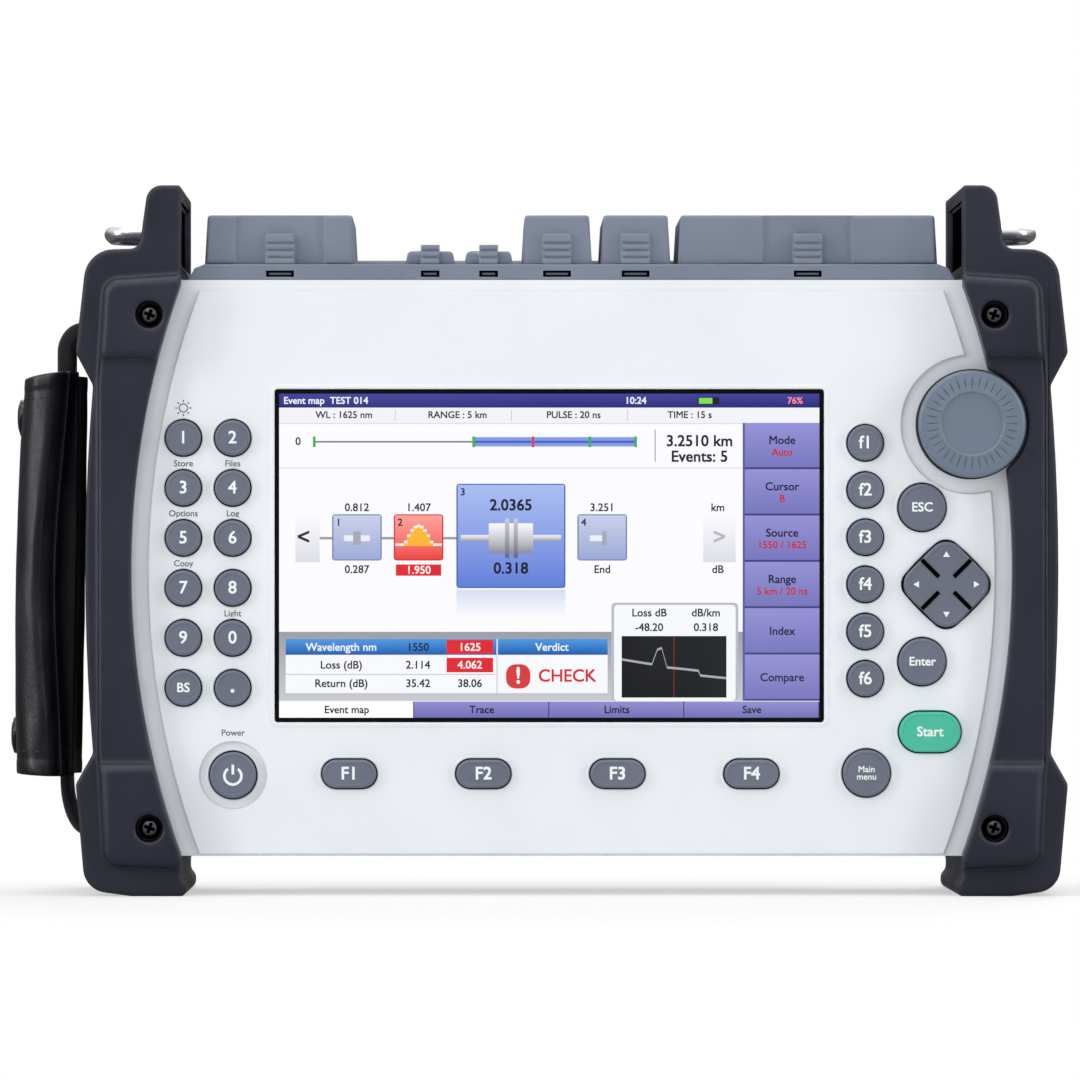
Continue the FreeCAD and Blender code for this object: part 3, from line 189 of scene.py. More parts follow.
def moulded(name, colour, roughness, grain, depth, roll, edge=None, edge_wear_and_highlight=0.35,
            drift=0.06, shine=0.5):
    """Moulded plastic or rubber: fine grain, slight drift of tone, edges lightened as wear and
    painted highlight.

    The grain's depth and the roll of the edges are in mm; edge is the lighter colour that edges
    take, partly as wear and partly as painted highlight, the next argument how far they take
    it, and drift how far the tone strays.
    """
    finish = Finish(name, Roughness=roughness, Specular_IOR_Level=shine)
    normal, edges = finish.edges(roll * MM)
    fine = finish.noise(grain, detail=3)
    broad = finish.noise(28, detail=3)
    # Patches where eased edges take the lighter colour: wear, and painted highlight on rounded
    # edges.
    wear_and_highlight_patches = finish.noise(160, detail=4).ramp(0.35, 0.6, 0.3, 1)
    plain = finish.blend(broad.ramp(0.3, 0.7), toned(colour, 1 - drift),
                         toned(colour, 1 + drift))
    finish.set(Base_Color=finish.blend(edges * wear_and_highlight_patches * edge_wear_and_highlight, plain, paint(edge or colour)),
               Roughness=broad.ramp(0.25, 0.75, roughness - 0.05, roughness + 0.06)
               + fine * 0.04,
               Normal=finish.relief(fine, depth * MM, normal))
    return finish.material


def metal(name, colour, roughness, scratch=900):
    """Turned, drawn or plated metal with fine scratches."""
    finish = Finish(name, Metallic=1.0)
    scratches = finish.noise(scratch, detail=3)
    cloud = finish.noise(70, detail=3)
    finish.set(Base_Color=finish.blend(cloud.ramp(0.3, 0.7), toned(colour, 0.82),
                                       paint(colour)),
               Roughness=scratches.ramp(0.3, 0.7, roughness - 0.06, roughness + 0.08),
               Normal=finish.relief(scratches, 0.004 * MM, finish.edges(0.15 * MM)[0]))
    return finish.material


def print_ink(name):
    """Print in the tint of each face, very slightly uneven."""
    finish = Finish(name)
    patchy = finish.noise(1800, detail=2)
    finish.set(Base_Color=finish.blend(patchy * 0.12, finish.tint(), (0.5, 0.5, 0.5, 1)),
               Roughness=patchy.ramp(0.3, 0.7, 0.45, 0.55))
    return finish.material


def lit(name):
    """A lit display: it glows in the tint of each face, behind a glossy surface."""
    finish = Finish(name, Base_Color=(0.01, 0.01, 0.012, 1), Emission_Strength=1.0,
                    Specular_IOR_Level=0.1)
    haze = finish.noise(14, detail=1).ramp(0.3, 0.7, 0.0, 0.02)
    finish.set(Emission_Color=finish.blend(haze, finish.tint(), (0.75, 0.8, 0.95, 1)),
               Roughness=finish.noise(2200).ramp(0.3, 0.7, 0.22, 0.3))
    return finish.material


def leather(name):
    """Black grained leather: fine pebbles, soft creases, a dull shine that varies."""
    finish = Finish(name, Specular_IOR_Level=0.45)
    pebbles = finish.node("TexVoronoi", {"feature": "SMOOTH_F1"},
                          {"Vector": finish.place(), "Scale": 900, "Smoothness": 0.6})
    creases = finish.noise(90, detail=5, stretch=(1, 1, 0.35), roughness=0.62)
    broad = finish.noise(22, detail=3)
    tone = finish.blend(broad.ramp(0.3, 0.7), paint("0c0c13"), paint("14141d"))
    finish.set(Base_Color=finish.blend(creases.ramp(0.52, 0.7, 0, 0.35), tone,
                                       paint("2c2d35")),
               Roughness=broad.ramp(0.25, 0.75, 0.27, 0.38) + pebbles * 0.1,
               Normal=finish.relief(pebbles * -0.5 + creases * 1.4, 0.06 * MM))
    return finish.material


def woven(name):
    """Black webbing: ribs along it, picks across it."""
    finish = Finish(name, Specular_IOR_Level=0.3, Sheen_Weight=0.25)

    def threads(direction, scale, distortion):
        return finish.node("TexWave", {"bands_direction": direction},
                           {"Vector": finish.place(), "Scale": scale,
                            "Distortion": distortion, "Detail": 1.0}, output="Fac")

    weave = threads("Y", 420, 0.3) * 0.5 + threads("DIAGONAL", 1100, 0.4) * 0.6
    finish.set(Base_Color=finish.blend(weave.ramp(0.2, 0.9), paint("0c0c0f"),
                                       paint("222228")),
               Roughness=weave.ramp(0.0, 1.0, 0.9, 0.72),
               Normal=finish.relief(weave, 0.1 * MM))
    return finish.material


# Colour, roughness, grain, its depth and the roll of the edges, colour of edges lightened as
# wear and painted highlight.
WHITE = moulded("panel_white", "e9edf2", 0.42, 2600, 0.012, 0.6, "f7f9fb", drift=0.015)
SLATE = moulded("deck_slate", "788193", 0.46, 2600, 0.014, 0.9, "b4bac6", edge_wear_and_highlight=0.6)
RUBBER = moulded("bumper_rubber", "272936", 0.38, 1500, 0.02, 1.8, "585a6b", edge_wear_and_highlight=0.6,
                 drift=0.12, shine=0.38)
CAP = moulded("key_slate", "686f7f", 0.42, 3200, 0.008, 0.4, "a4abb9")
GREEN = moulded("start_green", "45bfa1", 0.42, 3200, 0.008, 0.4, "8fe0cc")
# Dark with little shine: painted shade in the gaps round the keys and round the dial.
GAP_SHADE = moulded("painted_gap_shade", "26282e", 0.6, 2200, 0.01, 0.2, shine=0.2)
LATCH = moulded("latch_grey", "565c6b", 0.45, 2200, 0.01, 0.2, "7b8496")
DARK = moulded("dark_plastic", "26272b", 0.5, 2200, 0.014, 0.4, "43444a")
BLACK = moulded("black_frame", "08090b", 0.3, 2600, 0.006, 0.3, "1c1d20", shine=0.15)
# Black with no shine at all: painted shade in gaps, counterbores and recesses.
PAINTED_SHADE = moulded("painted_deep_shade", "040405", 0.9, 2200, 0.01, 0.2, shine=0.0)
BOARD = moulded("circuit_board", "0f6b3a", 0.4, 1200, 0.01, 0.2)
DIAL = moulded("dial_slate", "6a7788", 0.26, 3200, 0.004, 0.2, "b3bfca")
LACQUER = moulded("stud_lacquer", "131318", 0.18, 3000, 0.002, 0.2, "4a4b52")
THREAD = moulded("strap_thread", "26262d", 0.7, 4000, 0.01, 0.1)
STEEL = metal("ring_steel", "e2e4e8", 0.3, scratch=2600)
ZINC = metal("screw_zinc", "8f9197", 0.34)
NICKEL = metal("adapter_nickel", "cfcab8", 0.28)
ALUMINIUM = metal("module_aluminium", "b9bcc0", 0.4)
INK = print_ink("legend_ink")
GLOW = lit("display_glow")
LEATHER = leather("strap_leather")
WEBBING = woven("strap_webbing")

# What the CAD nodes wear; a node that is not named here is a key or a part like it.
DRESS = {
    WHITE: ("front_panel", "rear_case", "battery_door"),
    SLATE: ("connector_deck", *COVERS),
    RUBBER: ("left_bumper", "right_bumper"),
    DARK: ("case_gasket", "tilt_stand", "battery_pack", "arrow_pad_pivot", "dial_encoder"),
    GREEN: ("key_start",),
    STEEL: ("strap_rings", "cover_hinge_rod", "bumper_screws"),
    NICKEL: ("data_ports", "optical_adapters"),
    ALUMINIUM: ("display_module", "optical_module"),
    BOARD: ("key_board", "main_board"),
    BLACK: ("display_window", "hand_strap_sleeve", "hand_strap_webbing", "hand_strap_snaps"),
}
CHOSEN = {name: finish for finish, names in DRESS.items() for name in names}
for name, node in NODES.items():
    node.data.materials.clear()
    node.data.materials.append(CHOSEN.get(name, CAP))


# ---------------------------------------------------------------- outlines

def arc(centre, radius, start, end, steps):
    """Points along an arc, angles in degrees."""
    angles = [math.radians(start + (end - start) * i / steps) for i in range(steps + 1)]
    return [(centre[0] + radius * math.cos(angle), centre[1] + radius * math.sin(angle))
            for angle in angles]


def circle(centre, radius, steps):
    """Points round a circle."""
    return arc(centre, radius, 0, 360, steps)[:-1]


def oblong(left, right, low, high):
    """Corners of an upright rectangle."""
    return [(left, low), (right, low), (right, high), (left, high)]


def turned(points, degrees):
    """Points turned about the origin."""
    turn = Matrix.Rotation(math.radians(degrees), 2)
    return [tuple(turn @ Vector(point)) for point in points]


def about(x, z, points):
    """Points moved so that their origin is (x, z)."""
    return [(x + px, z + pz) for px, pz in points]


def bowed(points, half_x, half_z, bow):
    """An outline whose straight sides swell out by bow in their middle."""
    filled, steps = [], 12
    straight = half_x * 0.5
    for here, after in zip(points, points[1:] + points[:1]):
        filled.append(here)
        if math.dist(here, after) > straight:
            filled += [Vector(here).lerp(Vector(after), i / steps) for i in range(1, steps)]
    return [(px + bow * px / half_x * max(0, 1 - (pz / half_z) ** 2),
             pz + bow * pz / half_z * max(0, 1 - (px / half_x) ** 2)) for px, pz in filled]


def rounded(width, height, corner, inset=0.0, turn=0.0, steps=12, bow=0.0):
    """Outline of a rectangle with round corners, pulled in by inset, bowed and turned."""
    half_x, half_z = width / 2 - inset, height / 2 - inset
    corner = max(min(corner - inset, half_x, half_z), 0.02 * MM)
    points = []
    for across, up, start in ((1, 1, 0), (-1, 1, 90), (-1, -1, 180), (1, -1, 270)):
        centre = (across * (half_x - corner), up * (half_z - corner))
        points += arc(centre, corner, start, start + 90, steps)
    return turned(bowed(points, half_x, half_z, bow) if bow else points, turn)


def rolled(edge, front, ease, angles, way=1):
    """(inset, y) of an edge that rolls over into the front."""
    return [(edge + way * ease * (1 - math.cos(math.radians(angle))),
             front + ease * (1 - math.sin(math.radians(angle)))) for angle in angles]


def in_mm(profile, base):
    """A profile given as (inset, depth behind base) in mm, as (inset, y)."""
    return [(inset * MM, base + depth * MM) for inset, depth in profile]


def stack(centre, width, height, corner, profile, **shape):
    """Round-cornered rings about a point of the panel, one for each (inset, y)."""
    return [[(centre.x + px, y, centre.z + pz)
             for px, pz in rounded(width, height, corner, inset, **shape)]
            for inset, y in profile]


def courses(path):
    """Each point (x, y) of a path with the direction in which the path runs there."""
    for index, (x, y) in enumerate(path):
        before, after = path[max(index - 1, 0)], path[min(index + 1, len(path) - 1)]
        yield x, y, Vector((after[0] - before[0], after[1] - before[1])).normalized()


# ---------------------------------------------------------------- meshes

def shown(name, shape, finish, body, angle):
    """An object of this shape, smooth where faces meet at less than angle, on its body."""
    mesh = bpy.data.meshes.new(name)
    shape.to_mesh(mesh)
    shape.free()
    mesh.polygons.foreach_set("use_smooth", [True] * len(mesh.polygons))
    mesh.set_sharp_from_angle(angle=math.radians(angle))
    mesh.materials.append(finish)
    thing = bpy.data.objects.new(name, mesh)
    bpy.context.scene.collection.objects.link(thing)
    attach(thing, body)
    return thing


class Piece:
    """A mesh under construction, in the frame's axes, with a tint on each face corner."""

    def __init__(self, name):
        self.name = name
        self.mesh = bmesh.new()
        self.tint = self.mesh.loops.layers.float_color.new("tint")

    def colour(self, faces, tint):
        for face in faces:
            for loop in face.loops:
                loop[self.tint] = tint

    def loft(self, rings, closed=True, first=False, last=False, tint=(1, 1, 1, 1)):
        """Skin between rings of points; first and last fill the end rings."""
        rows = [[self.mesh.verts.new(point) for point in ring] for ring in rings]
        count = len(rows[0])
        faces = []
        for low, high in zip(rows, rows[1:]):
            for i in range(count if closed else count - 1):
                j = (i + 1) % count
                faces.append(self.mesh.faces.new((low[i], low[j], high[j], high[i])))
        if first:
            faces.append(self.mesh.faces.new(reversed(rows[0])))
        if last:
            faces.append(self.mesh.faces.new(rows[-1]))
        self.colour(faces, tint)

    def flat(self, points, y, tint=(1, 1, 1, 1)):
        """One face, drawn in X and Z, that looks out of the panel."""
        face = self.mesh.faces.new([self.mesh.verts.new((px, y, pz)) for px, pz in points])
        self.colour([face], tint)
        return face

    def ring(self, x, z, radius, line, front, tint, gap=0.0):
        """A flat printed ring, open at the top over gap degrees."""
        rows = [[(px, front, pz) for px, pz in
                 arc((x, z), edge, 90 + gap / 2, 450 - gap / 2, 40)]
                for edge in (radius + line / 2, radius - line / 2)]
        self.loft(rows, closed=False, tint=tint)

    def words(self, text, x, z, height, front, tint, weight, align="CENTER"):
        """Flat print, its middle at (x, z), made bolder by copies shifted by weight."""
        capital = 0.7  # height of a capital, as a share of the letters' size
        letters = bpy.data.curves.new("letters", "FONT")
        letters.body = text
        letters.size = height / capital
        letters.align_x = align
        letters.align_y = "CENTER"
        letters.resolution_u = 3
        letters.space_line = 0.85
        holder = bpy.data.objects.new("letters", letters)
        bpy.context.scene.collection.objects.link(holder)
        bpy.context.view_layer.update()
        flat = bpy.data.meshes.new_from_object(
            holder.evaluated_get(bpy.context.evaluated_depsgraph_get()))
        known = len(self.mesh.faces)
        flat.transform(Matrix.Translation((x, front, z)) @ Matrix.Rotation(
            math.radians(90), 4, "X"))
        last, layer_gap = Vector((0, 0, 0)), 0.001 * MM
        for layer, (across, up) in enumerate(oblong(-1, 1, -1, 1)):
            here = Vector((across * weight, -layer * layer_gap, up * weight))
            flat.transform(Matrix.Translation(here - last))
            last = here
            self.mesh.from_mesh(flat)
        self.mesh.faces.ensure_lookup_table()
        self.colour(self.mesh.faces[known:], tint)
        bpy.data.objects.remove(holder)
        bpy.data.curves.remove(letters)
        bpy.data.meshes.remove(flat)

    def done(self, finish, body, slot, angle=32, smooth=False, outward=False):
        """The finished object; smooth rounds it once more, outward mends its normals."""
        if outward:
            bmesh.ops.recalc_face_normals(self.mesh, faces=self.mesh.faces[:])
        thing = shown(self.name, self.mesh, finish, body, angle)
        if smooth:
            smoother = thing.modifiers.new("smooth", "SUBSURF")
            smoother.levels = smoother.render_levels = 1
        return thing


def cad_shape(node):
    """A CAD node's mesh with its corners joined, to work on."""
    shape = bmesh.new()
    shape.from_mesh(NODES[node].data)
    bmesh.ops.remove_doubles(shape, verts=shape.verts[:], dist=0.002 * MM)
    return shape


def islands(node):
    """Lowest and highest corners of each separate solid of a CAD node, left to right."""
    shape = cad_shape(node)
    boxes, seen = [], set()
    for start in shape.verts:
        if start in seen:
            continue
        seen.add(start)
        waiting, found = [start], []
        while waiting:
            vert = waiting.pop()
            found.append(vert.co.copy())
            for edge in vert.link_edges:
                other = edge.other_vert(vert)
                if other not in seen:
                    seen.add(other)
                    waiting.append(other)
        boxes.append((Vector(map(min, zip(*found))), Vector(map(max, zip(*found)))))
    shape.free()
    return sorted(boxes, key=lambda box: (box[0].x, box[0].z))


def eased(node, width, finish, body="instrument", weight=None):
    """A moulding as the CAD node has it, its edges rolled over by width.

    weight gives the share of that width for an edge with these two ends.
    """
    shape = cad_shape(node)
    sharp = 28
    bmesh.ops.dissolve_limit(shape, angle_limit=math.radians(0.6), verts=shape.verts[:],
                             edges=shape.edges[:])
    share = shape.edges.layers.float.new("bevel_weight_edge")
    for edge in shape.edges:
        if len(edge.link_faces) == 2 and edge.calc_face_angle() > math.radians(sharp):
            edge[share] = weight(*(vert.co for vert in edge.verts)) if weight else 1.0
    thing = shown(node + "_moulding", shape, finish, body, sharp)
    roll = thing.modifiers.new("roll", "BEVEL")
    roll.width = width
    roll.segments = 3
    roll.limit_method = "WEIGHT"
    roll.use_clamp_overlap = False
    roll.harden_normals = True
    roll.miter_outer = "MITER_ARC"
    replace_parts(thing, node)


# ---------------------------------------------------------------- keys

WHITE_INK = paint("f4f6f8")
GREY_INK = paint("50545f")
LEGENDS = {f"key_{digit}": digit for digit in "1234567890"}
LEGENDS |= {"key_back": "BS", "key_dot": "."}
LEGENDS |= {f"key_F{number}": f"F{number}" for number in range(1, 5)}
LEGENDS |= {f"key_side_{number}": f"f{number}" for number in range(1, 7)}
LEGENDS |= {"key_escape": "ESC", "key_enter": "Enter", "key_start": "Start",
            "key_menu": "Main\nmenu", "key_power": ""}
# Height of the letters in mm, where it is not that of a digit.
WORD_HEIGHTS = {"BS": 2.6, "ESC": 2.55, "Enter": 2.4, "Start": 2.7, "Main\nmenu": 1.75}


def key_shape(name):
    """Middle, width and height of the part of a key's cap that stands out of the panel."""
    low, high, centre = extent(name)
    return centre, high.x - low.x - 2 * KEY_LUG, high.z - low.z - 2 * KEY_LUG


def build_key(name):
    """A cap with an eased rim, a faint step inside it and a slightly domed top."""
    centre, width, height = key_shape(name)
    front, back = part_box(name)[0].y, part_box(name)[1].y
    ease = 0.45 * MM
    profile = [(0, back), (0, front + ease), *rolled(0, front, ease, (25, 50, 75)),
               *in_mm(((0.95, 0), (1.07, 0.14), (1.75, 0.13), (3.15, 0.06)), front)]
    cap = Piece(name + "_cap")
    cap.loft(stack(centre, width, height, height / 2, profile), first=True, last=True)
    green = name == "key_start"
    thing = cap.done(GREEN if green else CAP, name, "start_green" if green else "key_grey")
    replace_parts(thing, name)


def build_legend(name):
    """White print on a key's cap."""
    legend = Piece(name + "_legend")
    low, _, centre = extent(name)
    face = low.y + 0.03 * MM
    text = LEGENDS[name]
    if name == "key_power":
        legend.ring(centre.x, centre.z - 0.2 * MM, 2.4 * MM, 0.75 * MM, face, WHITE_INK,
                    gap=70)
        bar = oblong(-0.38 * MM, 0.38 * MM, 0.2 * MM, 3.0 * MM)
        legend.flat(about(centre.x, centre.z, bar), face, WHITE_INK)
    elif text == ".":
        dot = rounded(1.1 * MM, 1.1 * MM, 0.55 * MM)
        legend.flat(about(centre.x, centre.z - 0.8 * MM, dot), face, WHITE_INK)
    else:
        bold = {"F": 0.11, "M": 0.035}.get(text[0], 0.07)
        legend.words(text, centre.x, centre.z, WORD_HEIGHTS.get(text, 3.5) * MM, face,
                     WHITE_INK, bold * MM)
    legend.done(INK, name, "key_grey")


def build_key_surrounds():
    """Thin raised lips of the panel round each key hole, and dark rings of painted shade in the
    gaps.
    """
    lips, gap_shades = Piece("key_hole_lips"), Piece("key_gap_shades")
    for name in LEGENDS:
        centre, width, height = key_shape(name)
        base = FRONT + (0.8 * MM if name == "key_power" else 0)
        # The first rings sit in the gap round each key, dark as painted shade.
        for piece, profile in (
                (gap_shades, ((-0.45, 0.1), (-0.43, 0.9), (-0.12, 0.95), (-0.1, 2.0))),
                (lips, ((-0.42, 0.6), (-0.42, -0.05), (-0.54, -0.16), (-0.87, -0.14),
                        (-1.17, 0.02)))):
            piece.loft(stack(centre, width, height, height / 2, in_mm(profile, base)))
    lips.done(WHITE, "instrument", "panel_white", angle=60)
    gap_shades.done(GAP_SHADE, "instrument", "dark_plastic", angle=60)


def build_window_rim():
    """The panel's thin raised rim round the display window."""
    low, high, centre = extent("display_window")
    profile = in_mm(((-0.1, 0.5), (-0.15, -0.12), (-0.4, -0.2), (-1.3, -0.2),
                     (-1.65, 0.03)), FRONT)
    rim = Piece("window_rim")
    rim.loft(stack(centre, high.x - low.x, high.z - low.z, 0.8 * MM, profile, steps=6))
    rim.done(WHITE, "instrument", "panel_white", angle=60)


def build_panel_print():
    """Small grey words by the keys, and the brightness sign over the first."""
    ink = Piece("panel_print")
    face = FRONT - PROUD
    for name, word in (("key_3", "Store"), ("key_4", "Files"), ("key_5", "Options"),
                       ("key_6", "Log"), ("key_7", "Copy"), ("key_0", "Light"),
                       ("key_power", "Power")):
        centre, _, height = key_shape(name)
        lift = (5.4 if name == "key_power" else 1.9) * MM
        ink.words(word, centre.x, centre.z + height / 2 + lift, 1.75 * MM, face, GREY_INK,
                  0.03 * MM)
    centre, _, height = key_shape("key_1")
    x, z = centre.x, centre.z + height / 2 + 3.5 * MM
    ink.ring(x, z, 1.15 * MM, 0.32 * MM, face, GREY_INK)
    ray = oblong(1.65 * MM, 2.3 * MM, -0.17 * MM, 0.17 * MM)
    for degrees in range(0, 360, 45):
        ink.flat(about(x, z, turned(ray, degrees)), face, GREY_INK)
    ink.done(INK, "instrument", "panel_white")


def build_arrow_pad():
    """Diamond with bowed sides: four wings parted by narrow gaps drawn as dark strips of
    painted shade, and a white arrow on each.
    """
    low, high, centre = extent("arrow_pad")
    front, back = low.y, high.y
    half = (high.x - low.x) / 2
    corner, ease = 4.5 * MM, 0.6 * MM
    bow, tucked = 0.25 * MM, 0.4 * MM
    side = (half + corner * (math.sqrt(2) - 1)) * math.sqrt(2)
    step = FRONT - 0.9 * MM
    profile = [(tucked, back), (tucked, FRONT), (0, step), (0, front + ease),
               *rolled(0, front, ease, (30, 60, 85)),
               *in_mm(((1.0, 0), (1.15, 0.15), (3.0, 0.13)), front)]
    pad = Piece("arrow_pad_cap")
    pad.loft(stack(centre, side, side, corner, profile, turn=45, bow=bow),
             first=True, last=True)
    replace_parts(pad.done(CAP, "arrow_pad", "key_grey"), "arrow_pad")
    slit_shades, arrows = Piece("arrow_pad_slit_shades"), Piece("arrow_pad_legend")
    edge = side / 2 + bow
    course = [(3.0 * MM, front), (edge - ease, front),
              (edge - 0.4 * ease, front + 0.2 * ease), (edge, front + ease), (edge, step),
              (edge - tucked, FRONT), (edge - tucked, back)]
    tip = half - 2.6 * MM
    arrow = [(tip, 0), (tip - 1.6 * MM, 0.95 * MM), (tip - 1.6 * MM, -0.95 * MM)]
    # Dark strips of painted shade along the gaps between the wings, and a white arrow on each
    # wing.
    for quarter in range(4):
        slit_shades.loft([[(centre.x + px, y - PROUD, centre.z + pz) for px, pz in
                     turned([(reach + PROUD, 0.6 * MM), (reach + PROUD, -0.6 * MM)],
                            45 + 90 * quarter)] for reach, y in course], closed=False)
        arrows.flat(about(centre.x, centre.z, turned(arrow, 90 * quarter)), front - PROUD,
                    WHITE_INK)
    slit_shades.done(PAINTED_SHADE, "arrow_pad", "dark_plastic")
    arrows.done(INK, "arrow_pad", "key_grey")


def build_dial():
    """Turned dial: smooth middle, ring of fine ribs, rolled rim, a dark band of painted shade
    behind it.
    """
    low, high, centre = extent("dial_knob")
    middle = (centre.x, centre.z)
    front, back = low.y, FRONT + 0.6 * MM
    radius, ease = (high.x - low.x) / 2, 1.2 * MM
    shoulder = front + 0.6 * MM
    profile = [(3.0 * MM, high.y), (3.0 * MM, back), (radius, back),
               (radius, shoulder + ease),
               *rolled(radius, shoulder, ease, range(15, 90, 15), way=-1),
               (radius - ease, front + 0.58 * MM),
               *in_mm(((12.9, 0.5), (12.7, 0.42), (11.2, 0.34), (9.6, 0.12), (9.3, 0),
                       (8.9, 0.1), (8.6, 0.5), (7.0, 0.6), (3.5, 0.64)), front)]
    # how deep the grooves between the ribs are cut, by radius
    cuts = {12.7 * MM: 0.3 * MM, 11.2 * MM: 0.42 * MM, 9.6 * MM: 0.3 * MM}
    ribs, across = 36, 8
    knob = Piece("dial_cap")
    knob.loft([[(x, y + (0 if i % across else cuts.get(r, 0)), z)
                for i, (x, z) in enumerate(circle(middle, r, ribs * across))]
               for r, y in profile], first=True, last=True)
    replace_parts(knob.done(DIAL, "dial_knob", "key_grey", angle=40), "dial_knob")
    # A dark band just outside the rim: painted shade where the dial stands off the panel.
    rim_shade = Piece("dial_rim_shade")
    flare = [(-0.1 * MM, front + 2.4 * MM), (0.25 * MM, front + 2.5 * MM),
             (0.4 * MM, front + 2.7 * MM), (0.4 * MM, back - 0.1 * MM)]
    rim_shade.loft([[(x, y, z) for x, z in circle(middle, radius + out, 96)]
                for out, y in flare])
    rim_shade.done(GAP_SHADE, "dial_knob", "dark_plastic", angle=60)


# ---------------------------------------------------------------- display picture

# Colours that the picture uses more than once, and the edges of its areas.
PAPER, PRINT = "fbfbfe", "17182a"
BUTTON_PRINT, BUTTON_EDGE = "14143c", "3c3b78"
RED, PALE_RED, PALE_BLUE = "e02228", "fff2f2", "eaf3ff"
BOLD = 0.09 * MM
KEYS_LEFT, BARS_FOOT, TABS_TOP = 0.862, 0.09, 0.948


class Picture(Piece):
    """The display's picture. Places are shares of its width and height from its top left."""

    def __init__(self, name, width, height):
        super().__init__(name)
        low, _, centre = extent("display_window")
        self.width, self.height = width, height
        self.left, self.top = centre.x - width / 2, centre.z + height / 2
        self.glass = low.y - PROUD

    def at(self, x, z):
        return self.left + x * self.width, self.top - z * self.height

    def depth(self, level):
        """Each level lies a little in front of the one below."""
        return self.glass - level * 0.012 * MM

    def area(self, corners, tints, level):
        """A face with a tint at each corner."""
        face = self.flat([self.at(*corner) for corner in corners], self.depth(level))
        for loop, tint in zip(face.loops, tints):
            loop[self.tint] = paint(tint)

    def shaded(self, x0, z0, x1, z1, upper, lower, level):
        """A patch that passes from one colour at its top to another at its foot."""
        self.area([(x0, z1), (x1, z1), (x1, z0), (x0, z0)], (lower, lower, upper, upper),
                  level)

    def patch(self, x0, z0, x1, z1, tint, level=0, corner=0.0):
        """A patch of one colour, its corners round where a radius is given in mm."""
        if corner:
            outline = rounded((x1 - x0) * self.width, (z1 - z0) * self.height, corner * MM,
                              steps=4)
            self.flat(about(*self.at((x0 + x1) / 2, (z0 + z1) / 2), outline),
                      self.depth(level), paint(tint))
        else:
            self.shaded(x0, z0, x1, z1, tint, tint, level)

    def say(self, text, x, z, tall=0.024, tint=PRINT, level=6, align="CENTER",
            weight=0.05 * MM):
        self.words(text, *self.at(x, z), tall * self.height, self.depth(level),
                   paint(tint), weight, align)


def draw_bars(picture):
    """Title, settings and the whole fibre as a line with its marks."""
    patch, shaded, say = picture.patch, picture.shaded, picture.say
    patch(0, 0, 1, 1, PAPER)
    shaded(0, 0, 1, 0.043, "3a3b9a", "1c1d72", 1)
    say("Event map  TEST 014", 0.008, 0.022, 0.021, "f3f4ff", align="LEFT")
    say("10:24", 0.66, 0.022, 0.021, "f3f4ff")
    patch(0.775, 0.011, 0.815, 0.033, "0c0d20", 2)
    patch(0.777, 0.013, 0.802, 0.031, "7be04a", 3)
    say("76%", 0.955, 0.022, 0.02, "ff8a8a")
    patch(0, 0.043, 1, BARS_FOOT, "f2f3f8", 1)
    for words, x in (("WL : 1625 nm", 0.12), ("RANGE : 5 km", 0.33),
                     ("PULSE : 20 ns", 0.545), ("TIME : 15 s", 0.76)):
        say(words, x, 0.066, 0.021)
    for x in (0.215, 0.43, 0.645):
        patch(x - 0.0006, 0.05, x + 0.0006, 0.083, "b9bbc8", 2)
    patch(0, BARS_FOOT, KEYS_LEFT, 0.094, "dfe0ea", 2)
    say("0", 0.035, 0.148)
    patch(0.065, 0.146, 0.36, 0.151, "6f7378", 2)
    patch(0.36, 0.134, 0.66, 0.163, "7f9be6", 2)
    patch(0.36, 0.145, 0.66, 0.152, "3d5fc2", 3)
    green, red = "33b04a", "d93a3a"
    for x, tint in ((0.065, green), (0.36, green), (0.47, red), (0.575, green),
                    (0.66, green)):
        patch(x - 0.0025, 0.132, x + 0.0025, 0.165, tint, 4)
    patch(0.695, 0.11, 0.697, 0.21, "9a9db0", 2)
    say("3.2510 km", 0.778, 0.147, 0.034, weight=BOLD)
    say("Events: 5", 0.778, 0.195, 0.034, weight=BOLD)
    patch(0, 0.228, KEYS_LEFT, 0.231, "dadbe6", 2)


